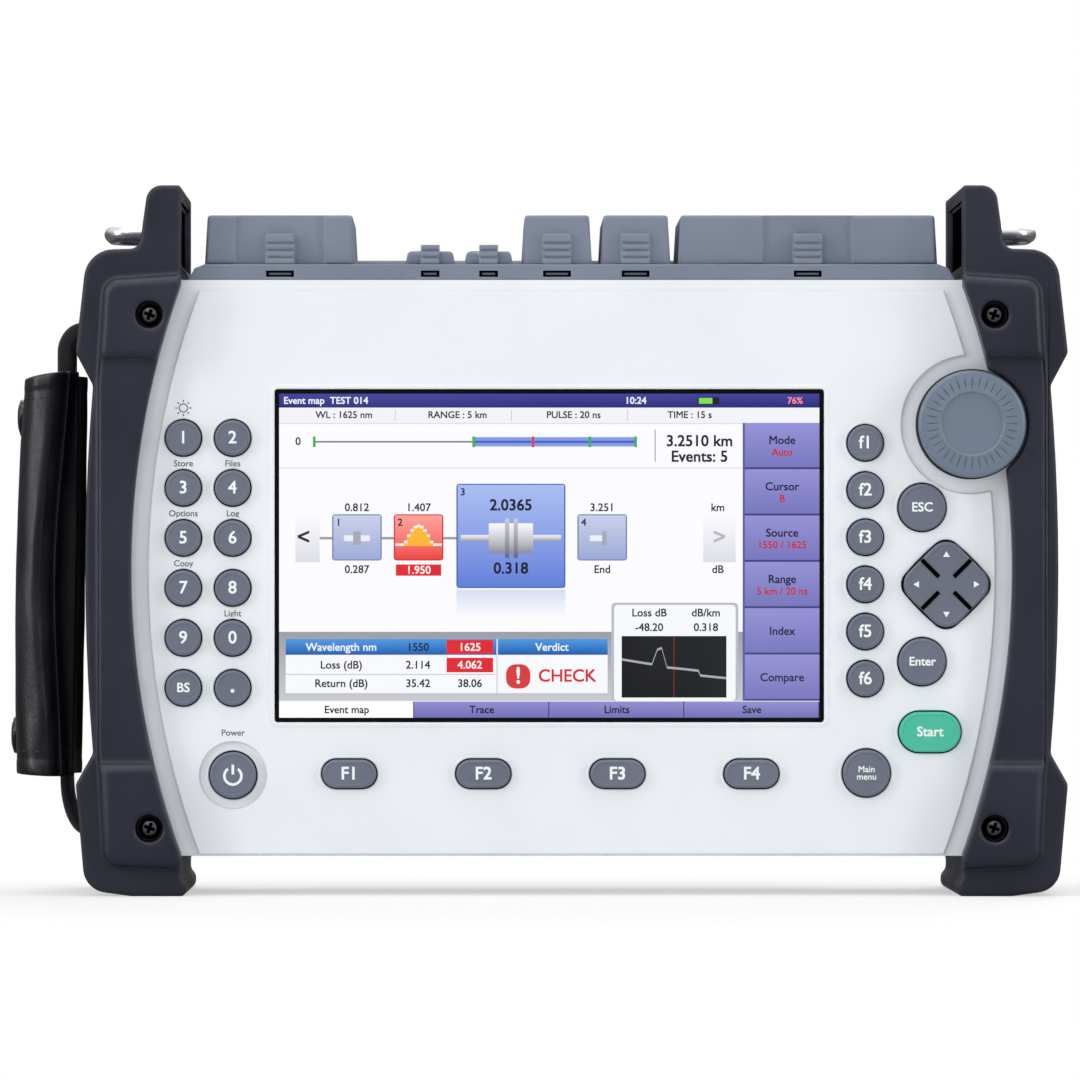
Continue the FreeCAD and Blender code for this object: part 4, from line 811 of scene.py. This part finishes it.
def draw_events(picture):
    """A row of tiles for a splice, a bend, a coupling and the end, with their values."""
    patch, shaded, say = picture.patch, picture.shaded, picture.say
    # upper, lower and rim colour of a tile
    grey, red = ("c7cee8", "9ba8d6", "6d7cb8"), ("ff9f96", "ee3c36", "c92a2a")
    blue = ("a9bcf2", "5d7cd8", "3f5cbf")
    for x0, x1 in ((0.03, 0.075), (0.785, 0.845)):
        shaded(x0, 0.37, x1, 0.52, PAPER, "dcdde4", 1)
    patch(0.075, 0.442, 0.53, 0.45, "9b9da6", 2)
    edge = 0.0035
    for number, x0, z0, x1, z1, (upper, lower, rim) in (
            ("1", 0.098, 0.372, 0.19, 0.515, grey), ("2", 0.212, 0.372, 0.304, 0.515, red),
            ("3", 0.328, 0.278, 0.53, 0.6, blue), ("4", 0.552, 0.372, 0.644, 0.515, grey)):
        patch(x0, z0, x1, z1, rim, 3, corner=0.8)
        shaded(x0 + edge * 0.7, z0 + edge, x1 - edge * 0.7, z1 - edge, upper, lower, 4)
        say(number, x0 + 0.012, z0 + 0.026, 0.022, level=8)
    # splice
    patch(0.12, 0.437, 0.168, 0.455, "eceef4", 5, corner=0.4)
    patch(0.137, 0.425, 0.151, 0.467, "a4a8b4", 6, corner=0.3)
    # bend, as a hump of nine bars
    patch(0.215, 0.462, 0.301, 0.47, "f6f1ec", 5)
    for index in range(9):
        x = 0.231 + 0.006 * index
        rise = 0.06 * math.sin(math.pi * (index + 0.5) / 9)
        patch(x, 0.47 - rise, x + 0.0062, 0.47, "ffb52e", 6)
        patch(x, 0.464 - rise, x + 0.0062, 0.472 - rise, "fff6e8", 7)
    # coupling
    shaded(0.336, 0.436, 0.522, 0.456, "f2f3f6", "8f93a0", 5)
    shaded(0.388, 0.4, 0.47, 0.492, "fafafc", "878b98", 6)
    for x in (0.418, 0.434):
        shaded(x, 0.385, x + 0.008, 0.507, "c9ccd6", "5f6370", 7)
    # end
    patch(0.575, 0.437, 0.598, 0.455, "eceef4", 5, corner=0.3)
    patch(0.598, 0.425, 0.606, 0.467, "a4a8b4", 6)
    patch(0.216, 0.527, 0.3, 0.562, RED, 2)
    say("1.950", 0.258, 0.545, tint=PALE_RED)
    for x, upper, lower in ((0.144, "0.812", "0.287"), (0.258, "1.407", ""),
                            (0.598, "3.251", "End"), (0.812, "km", "dB")):
        say(upper, x, 0.352)
        if lower:
            say(lower, x, 0.543)
    say("2.0365", 0.429, 0.345, 0.034, level=8, weight=BOLD)
    say("0.318", 0.429, 0.54, 0.034, level=8, weight=BOLD)
    say("<", 0.045, 0.445, 0.05, weight=BOLD)
    say(">", 0.815, 0.445, 0.05, "b4b6c2", weight=BOLD)
    shaded(0.328, 0.605, 0.53, 0.69, "d5dcf2", PAPER, 2)


def draw_results(picture):
    """A table of losses at two wavelengths, and the verdict beside it."""
    patch, shaded, say = picture.patch, picture.shaded, picture.say
    shaded(0, 0.735, KEYS_LEFT, TABS_TOP, "9a9ca4", "c8cad0", 2)
    patch(0.012, 0.757, 0.608, 0.924, "f7f8fb", 3)
    shaded(0.012, 0.757, 0.608, 0.806, "4a98e0", "0d57ad", 4)
    patch(0.012, 0.865, 0.4, 0.868, "c5c8d4", 4)
    patch(0.402, 0.757, 0.405, 0.924, "d9dbe4", 5)
    patch(0.31, 0.76, 0.396, 0.803, RED, 5)
    patch(0.31, 0.815, 0.396, 0.86, RED, 4)
    head, first, second = 0.783, 0.838, 0.895
    for text, x, z, tint, level in (
            ("Wavelength nm", 0.115, head, PALE_BLUE, 6), ("1550", 0.257, head, "0c1f40", 6),
            ("1625", 0.353, head, PALE_RED, 8), ("Verdict", 0.505, head, PALE_BLUE, 6),
            ("Loss (dB)", 0.115, first, PRINT, 6), ("2.114", 0.257, first, PRINT, 6),
            ("4.062", 0.353, first, PALE_RED, 8), ("Return (dB)", 0.115, second, PRINT, 6),
            ("35.42", 0.257, second, PRINT, 6), ("38.06", 0.353, second, PRINT, 6)):
        say(text, x, z, tint=tint, level=level)
    patch(0.42, 0.835, 0.465, 0.91, "d8383c", 4, corner=2.6)
    say("!", 0.4425, 0.872, 0.05, "ffffff", level=8, weight=0.1 * MM)
    say("CHECK", 0.533, 0.872, 0.038, "d8262c", weight=0.08 * MM)


def draw_plot(picture):
    """A small plot of the trace under its own heading."""
    patch, say = picture.patch, picture.say
    patch(0.615, 0.645, 0.85, TABS_TOP, "b9bcc6", 3, corner=1.2)
    patch(0.62, 0.652, 0.845, TABS_TOP, "f6f7fa", 4, corner=1.0)
    for x, upper, lower in ((0.685, "Loss dB", "-48.20"), (0.79, "dB/km", "0.318")):
        say(upper, x, 0.677)
        say(lower, x, 0.722)
    patch(0.634, 0.748, 0.828, 0.938, "060708", 5)
    patch(0.73, 0.748, 0.7315, 0.938, "8a1f22", 6)
    trace = [(0.634, 0.82), (0.67, 0.83), (0.69, 0.835), (0.7, 0.79), (0.708, 0.785),
             (0.718, 0.845), (0.75, 0.85), (0.776, 0.855), (0.78, 0.87), (0.828, 0.878)]
    line = 0.0035
    for (x0, z0), (x1, z1) in zip(trace, trace[1:]):
        picture.area([(x0, z0 + line), (x1, z1 + line), (x1, z1 - line), (x0, z0 - line)],
                     ["a9abb0"] * 4, 7)


def draw_buttons(picture):
    """Soft keys down the right side and tabs along the foot."""
    patch, shaded, say = picture.patch, picture.shaded, picture.say
    names = [("Mode", "Auto"), ("Cursor", "B"), ("Source", "1550 / 1625"),
             ("Range", "5 km / 20 ns"), ("Index", ""), ("Compare", "")]
    tall = (TABS_TOP - BARS_FOOT) / len(names)
    for index, (name, value) in enumerate(names):
        z0 = BARS_FOOT + tall * index
        shaded(KEYS_LEFT, z0, 1.0, z0 + tall - 0.004, "9391d4", "7573bb", 2)
        patch(KEYS_LEFT, z0 + tall - 0.006, 1.0, z0 + tall, BUTTON_EDGE, 3)
        say(name, 0.931, z0 + tall * (0.38 if value else 0.5), 0.025, BUTTON_PRINT)
        if value:
            say(value, 0.931, z0 + tall * 0.64, 0.022, "c2242c")
    patch(KEYS_LEFT - 0.004, BARS_FOOT, KEYS_LEFT, TABS_TOP, "5a599a", 3)
    for index, name in enumerate(("Event map", "Trace", "Limits", "Save")):
        x0, x1 = index / 4, (index + 1) / 4
        upper, lower = ("8f8dcf", "6f6db6") if index else ("ffffff", "ffffff")
        shaded(x0, TABS_TOP + 0.002, x1, 1.0, upper, lower, 2)
        patch(x1 - 0.002, TABS_TOP + 0.002, x1, 1.0, BUTTON_EDGE, 3)
        say(name, (x0 + x1) / 2, 0.976, 0.023, BUTTON_PRINT)


def build_picture():
    """A generic measuring screen on the active area of a 7 inch wide display."""
    picture = Picture("display_picture", 152.4 * MM, 91.4 * MM)
    for draw in (draw_bars, draw_events, draw_results, draw_plot, draw_buttons):
        draw(picture)
    picture.done(GLOW, "instrument", "window_glass", angle=180)


# ---------------------------------------------------------------- hand strap

def sleeve_profile(fold, edge, thick, deep):
    """Half section of the sleeve, inner middle to outer middle, as (inward, back) in mm.

    The outer leaf rises to a fold and falls into a crease, where the edge of the inner
    leaf shows before the gap round the webbing.
    """
    inner = thick - 2.4
    return [(inner, deep / 2), (inner, 20), (inner + 0.3, 14), (thick - 0.5, 10.5),
            (thick - 0.1, 9.2), (thick - 0.5, 8.2), (thick - 1.1, 8.4), (edge + 0.75, 7.4),
            (edge + 0.6, 4.6), (edge + 0.45, 2.6), (edge + 0.15, 1.7), (edge - 0.15, 1.5),
            (edge - 0.45, 1.9), (edge - 0.6, 3.0), (edge - 0.9, 3.9), (edge - 1.3, 3.4),
            (edge - 1.9, 2.3), (fold + 1.7, 1.1), (fold + 0.8, 0.45), (fold + 0.2, 0.15),
            (fold - 0.4, 0.1), (fold - 1.3, 0.4), (fold * 0.66, 1.2), (fold * 0.45, 2.2),
            (fold * 0.25, 3.9), (fold * 0.12, 6.2), (0.4, 10), (0.15, 15), (0.05, 22),
            (0, deep / 2)]


def sleeve_sides(share):
    """X of the outer and inner faces: the sleeve leans out towards its foot."""
    low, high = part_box("hand_strap_sleeve")
    lean, hollow = 2.4 * share ** 2.2, 0.8 * math.sin(math.pi * share)
    return low.x + (lean - hollow - 2.0) * MM, high.x - 1.7 * MM * (1 - share) ** 1.5


def sleeve_section(share, grown=0.0):
    """The closed section at a share of the height from the foot, in the frame's axes."""
    low, high, centre = extent("hand_strap_sleeve")
    deep = (high.y - low.y) / MM
    outer, inner = sleeve_sides(share)
    thick = (inner - outer) / MM
    waist = math.sin(math.pi * share) ** 2
    fold = 9.0 - 2.0 * waist + 0.2 * math.sin(11 * share)
    edge = 13.4 - 1.1 * waist + 0.25 * math.sin(7 * share + 1)
    half = sleeve_profile(fold, edge, thick, deep)
    droop = 2.2 * MM * max(0.0, (share - 0.8) / 0.2) ** 2
    lift = 0.8 * MM * max(0.0, (0.15 - share) / 0.15) ** 2
    points = []
    for u, w in half + [(u, deep - w) for u, w in reversed(half[1:-1])]:
        outward = max(0.0, 1 - u / thick) ** 2
        z = low.z + share * (high.z - low.z) + (lift - droop) * outward
        place = Vector((outer + u * MM, low.y + w * MM, z))
        ripple = noise.noise(Vector((u * 0.22, w * 0.1, share * 9)))
        inwards = Vector((outer + thick / 2 * MM, centre.y, z)) - place
        points.append(place + inwards.normalized() * (ripple * 0.4 * MM - grown))
    return points


def build_sleeve():
    """Leather sleeve folded round the webbing, hemmed and open at both ends."""
    hem = [(0.0, 0.0), (0.004, 0.25), (0.02, 0.3), (0.034, 0.2), (0.042, -0.15), (0.05, 0.0)]
    stations = hem + [(0.05 + 0.9 * i / 26, 0.0) for i in range(1, 26)]
    stations += [(1 - share, grown) for share, grown in reversed(hem)]
    rings = [sleeve_section(share, grown * MM) for share, grown in stations]

    def tucked(ring, sink):
        centre = sum(ring, Vector()) / len(ring)
        return [centre + (point - centre) * 0.8 + Vector((0, 0, sink)) for point in ring]

    foot, top = rings[0], rings[-1]
    rings = [tucked(foot, 3 * MM), tucked(foot, 0), *rings, tucked(top, 0),
             tucked(top, -3 * MM)]
    sleeve = Piece("hand_strap_leather")
    sleeve.loft(rings, first=True, last=True)
    cover = sleeve.done(LEATHER, "instrument", "strap_leather", angle=80, smooth=True)
    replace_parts(cover, "hand_strap_sleeve")


def build_stitches():
    """A row of stitches round each end of the sleeve."""
    stitches = Piece("hand_strap_stitches")
    long, pitch = 1.5 * MM, 2.3 * MM
    for share in (0.062, 0.938):
        section = sleeve_section(share, 0.06 * MM)
        carried = 0.0
        for start, end in zip(section, section[1:] + section[:1]):
            run = end - start
            along = run.normalized()
            out, up = Vector((along.y, -along.x, 0)) * 0.14 * MM, Vector((0, 0, 0.2 * MM))
            while carried + long + 0.2 * MM < run.length:
                ends = [start + along * carried, start + along * (carried + long)]
                stitches.loft([[place + out, place + up, place - out, place - up]
                               for place in ends], first=True, last=True)
                carried += pitch
            carried = max(carried - run.length, 0.0)
    stitches.done(THREAD, "instrument", "strap_leather", angle=60)


def build_webbing():
    """Both ends of the webbing, curving from the sleeve into the bumper."""
    low, high, centre = extent("hand_strap_webbing")
    sleeve_low, sleeve_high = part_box("hand_strap_sleeve")
    strap = Piece("hand_strap_band")
    wide = high.y - low.y - 0.2 * MM
    line = low.x + 1.2 * MM
    slot, across, hidden = 1.2 * MM, 6.5 * MM, 7 * MM
    for edge, inside, way, thick, drop in (
            (high.z, sleeve_high.z - hidden, 1, 4.2 * MM, 7.0 * MM),
            (low.z, sleeve_low.z + hidden, -1, 2.6 * MM, 15.0 * MM)):
        level = edge - way * slot
        bend = [math.radians(angle) for angle in range(0, 91, 6)]
        path = [(line, inside), (line, level - way * (drop + 1.5 * MM)),
                *((line + across * (1 - math.cos(angle)),
                   level - way * drop * (1 - math.sin(angle))) for angle in bend),
                (high.x - 0.2 * MM, level)]
        rings = []
        for x, z, along in courses(path):
            share = min(1.0, max(0.0, (x - line) / across)) ** 3
            here = thick * (1 - share) + 2 * slot * share
            rings.append([(x + along.y * flat, centre.y + depth, z - along.x * flat)
                          for depth, flat in rounded(wide, here, 1.0 * MM, steps=3)])
        strap.loft(rings, first=True, last=True)
    band = strap.done(WEBBING, "instrument", "webbing_black", angle=50)
    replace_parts(band, "hand_strap_webbing")


def build_snaps():
    """Domed black press studs on the sleeve, with a rolled rim."""
    low, high, centre = extent("hand_strap_snaps")
    foot, top = [corner.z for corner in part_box("hand_strap_sleeve")]
    radius = (high.y - low.y) / 2
    rise = 3.4 * MM
    profile = [(0.05, 0), (0.97, 0), (0.97, 0.3), (1.0, 0.36), (1.0, 0.64), (0.97, 0.76),
               (0.9, 0.82), (0.83, 0.8), (0.77, 0.86), (0.6, 0.95), (0.35, 0.99),
               (0.05, 1.0)]
    studs = Piece("hand_strap_studs")
    for z in (low.z + radius, high.z - radius):
        base = sleeve_sides((z - foot) / (top - foot))[0] - 2.2 * MM + rise
        studs.loft([[(base - rise * h, py, pz)
                     for py, pz in circle((centre.y, z), radius * r, 40)]
                    for r, h in profile], first=True, last=True)
    caps = studs.done(LACQUER, "instrument", "snap_metal", angle=50, smooth=True)
    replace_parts(caps, "hand_strap_snaps")


# ---------------------------------------------------------------- deck and bumpers

def is_tall(cover):
    """Whether a cover is one of the four that stand high over the deck."""
    low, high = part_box(cover)
    return high.z - low.z > 12 * MM


def build_cover(name):
    """Dust cover with soft outer corners and finer edges on tab, recess and blade."""
    low, high, centre = extent(name)
    half = (high.x - low.x) / 2
    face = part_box("connector_deck")[0].y + 2.0 * MM
    top = high.z if is_tall(name) else high.z - 1.7 * MM
    blade_top, recess_depth = low.z + 3.0 * MM, 1.1 * MM
    is_wide, recess_side = half > 15 * MM, 12.3 * MM
    touch = 0.1 * MM

    def weight(one, other):
        out = min(abs(one.x - centre.x), abs(other.x - centre.x))
        at_side = out > half - 1.2 * MM
        at_top = min(one.z, other.z) > top - touch
        in_front = max(one.y, other.y) < face + touch
        outer = min(one.y, other.y) > face - touch
        if outer and (at_side and (in_front or at_top) or at_top and in_front):
            return 1.0
        if outer and in_front and is_wide and out > recess_side:
            return 0.65
        if max(one.y, other.y) < face + recess_depth and min(one.z, other.z) > blade_top:
            return 0.25
        return 0.0

    eased(name, 0.9 * MM, SLATE, body=name, weight=weight)


def build_deck_windows():
    """Latch windows in the deck's edge, dark inside with painted shade, each with the grey tip
    of a latch.
    """
    shade_wells, tips = Piece("latch_window_shades"), Piece("latch_tips_solid")
    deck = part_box("connector_deck")[0]
    foot, head = deck.z + 0.92 * MM, deck.z + 2.68 * MM
    for name in COVERS:
        x = extent(name)[2].x
        width = (7.9 if is_tall(name) else 5.3) * MM
        half = width / 2 - PROUD
        # A dark box of painted shade inside each window.
        shade_wells.loft([[(px, deck.y + depth, pz)
                     for px, pz in oblong(x - half, x + half, foot, head)]
                    for depth in (0.05 * MM, 1.3 * MM)], last=True)
        tips.loft([[(px, deck.y + depth * MM, pz) for px, pz in
                    oblong(x - half + side * MM, x + half - side * MM,
                           foot + end * MM, head - end * MM)]
                   for side, end, depth in ((0.75, 0.55, 1.25), (0.75, 0.55, 0.62),
                                            (0.87, 0.67, 0.5))], first=True, last=True)
    shade_wells.done(PAINTED_SHADE, "instrument", "dark_plastic")
    tips.done(LATCH, "instrument", "deck_grey", outward=True)


def build_deck_lip():
    """The rolled front edge of the deck's top."""
    low, high, centre = extent("connector_deck")
    length = high.x - centre.x - 4.3 * MM
    section = [(0.02, -0.6), (-0.05, -0.4), (-0.08, -0.05), (-0.02, 0.13), (0.1, 0.22),
               (0.2, 0.2), (0.27, 0.08), (0.28, -0.1)]
    lip = Piece("deck_lip")
    lip.loft([[(x, low.y + y * MM, DECK_TOP + z * MM) for y, z in section]
              for x in (centre.x - length, centre.x + length)], closed=False)
    lip.done(SLATE, "instrument", "deck_grey", angle=60)


def cross(angle, reach, half):
    """How far a cross of this reach and half width goes out at an angle."""
    along, side = max(abs(math.cos(angle)), 1e-6), max(abs(math.sin(angle)), 1e-6)
    return max(min(reach / along, half / side), min(half / along, reach / side))


def build_screws():
    """Cross-head screws, their cross recesses and counterbores darkened with painted shade."""
    screws, shade_wells = Piece("case_screws"), Piece("screw_well_shades")
    cross_shades = Piece("screw_recess_shades")
    angles = [2 * math.pi * i / 96 for i in range(96)]
    twist = 0.35
    for low, high in islands("bumper_screws"):
        centre = (low + high) / 2

        def ring(depth, radius, half=None):
            """A circle, or a cross where half its width is given; all in mm."""
            reaches = [cross(angle + twist, radius, half) if half else radius
                       for angle in angles]
            return [(centre.x + reach * MM * math.cos(angle), low.y + depth * MM,
                     centre.z + reach * MM * math.sin(angle))
                    for angle, reach in zip(angles, reaches)]

        shank = (high.y - low.y) / MM
        screws.loft([ring(*row) for row in (
            (shank, 1.25), (2.0, 1.25), (2.0, 2.5), (0.8, 2.5), (0.4, 2.4), (0.12, 2.1),
            (0, 1.85), (0, 1.6, 0.5), (0.35, 1.5, 0.42), (1.2, 0.7, 0.3))],
                    first=True, last=True)
        # Dark faces of painted shade in each cross recess and down each counterbore.
        cross_shades.loft([ring(0.3, 1.49, 0.41)], last=True)
        shade_wells.loft([ring(-2.6, 3.77), ring(1.96, 3.77), ring(1.96, 2.5)])
    head = screws.done(ZINC, "instrument", "ring_steel", angle=30)
    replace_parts(head, "bumper_screws")
    cross_shades.done(PAINTED_SHADE, "instrument", "dark_plastic")
    shade_wells.done(PAINTED_SHADE, "instrument", "dark_plastic")


def build_horn_shades():
    """Dark sheets of painted shade on the floors of the recesses in the inner faces of both
    horns.
    """
    horn_shades = Piece("horn_recess_shades")
    rings = islands("strap_rings")
    clear, wall = 0.06 * MM, 4.0 * MM
    floor, deep = 2.56 * MM, 1.3 * MM
    horn_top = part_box("right_bumper")[1].z - wall
    outline = oblong(FRONT + 2.5 * MM + clear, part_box("rear_case")[1].y - wall - clear,
                     DECK_TOP + clear, horn_top - clear)
    # A dark box of painted shade on each horn's recess floor.
    for x, way in ((rings[0][1].x + floor, 1), (rings[-1][0].x - floor, -1)):
        horn_shades.loft([[(x + way * out, y, z) for y, z in outline] for out in (deep, 0)],
                     last=True)
    horn_shades.done(PAINTED_SHADE, "instrument", "bumper_rubber")


def build_rings():
    """Bent wire loops for the shoulder strap, round and polished."""
    loops = Piece("strap_ring_loops")
    bend = 6.0 * MM
    for low, high in islands("strap_rings"):
        side = 1 if low.x + high.x > 0 else -1
        wire = (high.z - low.z) / 2
        inner = low.x if side > 0 else -high.x
        outer = (high.x if side > 0 else -low.x) - wire
        near, far = low.y + wire, high.y - wire
        path = [(inner, near), *arc((outer - bend, near + bend), bend, -90, 0, 12),
                *arc((outer - bend, far - bend), bend, 0, 90, 12), (inner, far)]
        loops.loft([[(side * (x + along.y * across), y - along.x * across,
                      (low.z + high.z) / 2 + up) for across, up in circle((0, 0), wire, 24)]
                    for x, y, along in courses(path)], first=True, last=True)
    rings = loops.done(STEEL, "instrument", "ring_steel", angle=50)
    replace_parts(rings, "strap_rings")


# ---------------------------------------------------------------- stage

# What gloss finds beside the object, before and behind it, and what soft light finds.
DIM_FRONT, DIM_BACK, SOFT_LEVEL = 0.3, 0.14, 0.5
# Name, place, width and height, and power of each lamp.
LAMPS = (("key_light", (-0.9, -1.5, 1.5), (1.2, 1.2), 8),
         ("left_strip", (-1.9, -0.85, 0.5), (0.3, 1.6), 15),
         ("right_strip", (1.95, -0.8, 0.5), (0.3, 1.6), 14),
         ("top_light", (0.0, -0.25, 1.7), (1.4, 0.8), 8),
         ("rear_light", (0.3, 1.6, 1.3), (1.4, 1.0), 16))


def add_camera():
    """Straight on to the panel, a little left of the middle and low, 1.85 m off."""
    distance, across = 1.85, 0.3046
    camera = bpy.data.cameras.new("view")
    camera.sensor_width = 36
    camera.lens = camera.sensor_width * distance / across
    camera.shift_x = 0.061
    camera.shift_y = 0.070
    camera.clip_start = 0.01
    holder = bpy.data.objects.new("view", camera)
    holder.location = (-0.0184, FRONT - distance, 0.079)
    holder.rotation_euler = (math.radians(90), 0, 0)
    bpy.context.scene.collection.objects.link(holder)
    bpy.context.scene.camera = holder


def add_lamp(name, place, size, power):
    """A rectangular lamp that faces the object."""
    lamp = bpy.data.lights.new(name, "AREA")
    lamp.shape = "RECTANGLE"
    lamp.size, lamp.size_y = size
    lamp.energy = power
    holder = bpy.data.objects.new(name, lamp)
    holder.location = place
    aim = Vector((0, 0, 0.1)) - Vector(place)
    holder.rotation_euler = aim.to_track_quat("-Z", "Y").to_euler()
    bpy.context.scene.collection.objects.link(holder)


def add_floor():
    """Pale floor that keeps the shadow, white to the eye further off, dim in gloss."""
    mesh = bpy.data.meshes.new("floor")
    reach = 40.0
    corners = [(x, y, 0) for x, y in oblong(-reach, reach, -reach, reach)]
    mesh.from_pydata(corners, [], [(0, 1, 2, 3)])
    floor = bpy.data.objects.new("floor", mesh)
    bpy.context.scene.collection.objects.link(floor)
    finish = Finish("pale_floor", Base_Color=paint("f6f6f5"), Roughness=0.8,
                    Specular_IOR_Level=0.2)
    across, along, _ = finish.parts(finish.place())
    far = (across * across * 0.35 + along * along).ramp(0.012, 0.05)
    rays = finish.node("LightPath", output="Is Camera Ray")
    glossy = finish.node("LightPath", output="Is Glossy Ray")
    shine = finish.blend(glossy, (1, 1, 1, 1), (DIM_BACK, DIM_BACK, DIM_BACK, 1))
    white = finish.node("Emission", None, {"Color": shine, "Strength": 1.0})
    plain = Socket(finish, finish.surface.outputs[0])
    mixed = finish.node("MixShader", None, {0: rays * (far * 0.5 + 0.5) + glossy,
                                            1: plain, 2: white})
    finish.feed(finish.tree.nodes["Material Output"].inputs["Surface"], mixed)
    mesh.materials.append(finish.material)


def add_world():
    """White to the eye; in gloss white above the object and dim round it."""
    world = bpy.data.worlds.new("studio")
    world.use_nodes = True
    bpy.context.scene.world = world
    sky = Shader(world.node_tree)
    _, along, up = sky.parts(sky.node("TexCoord", output="Generated"))
    gloss = along.ramp(-0.1, 0.4, DIM_FRONT, DIM_BACK).most(up.ramp(0.05, 0.55))
    glossy = sky.node("LightPath", output="Is Glossy Ray")
    seen = sky.node("LightPath", output="Is Camera Ray").most(
        sky.node("LightPath", output="Is Transmission Ray"))
    background = world.node_tree.nodes["Background"]
    background.inputs["Color"].default_value = (1, 1, 1, 1)
    sky.feed(background.inputs["Strength"],
             seen.ramp(0.0, 1.0, glossy.ramp(0.0, 1.0, SOFT_LEVEL, gloss), 1.0))


# ---------------------------------------------------------------- assembly

for name in LEGENDS:
    build_key(name)
    build_legend(name)
build_key_surrounds()
build_window_rim()
build_panel_print()
build_arrow_pad()
build_dial()
build_picture()
build_sleeve()
build_stitches()
build_webbing()
build_snaps()
for name in ("left_bumper", "right_bumper"):
    eased(name, 0.8 * MM, RUBBER)
for name in COVERS:
    build_cover(name)
build_deck_windows()
build_deck_lip()
build_screws()
build_horn_shades()
build_rings()

add_camera()
add_floor()
add_world()
for lamp in LAMPS:
    add_lamp(*lamp)

bpy.context.scene.view_settings.view_transform = "Standard"
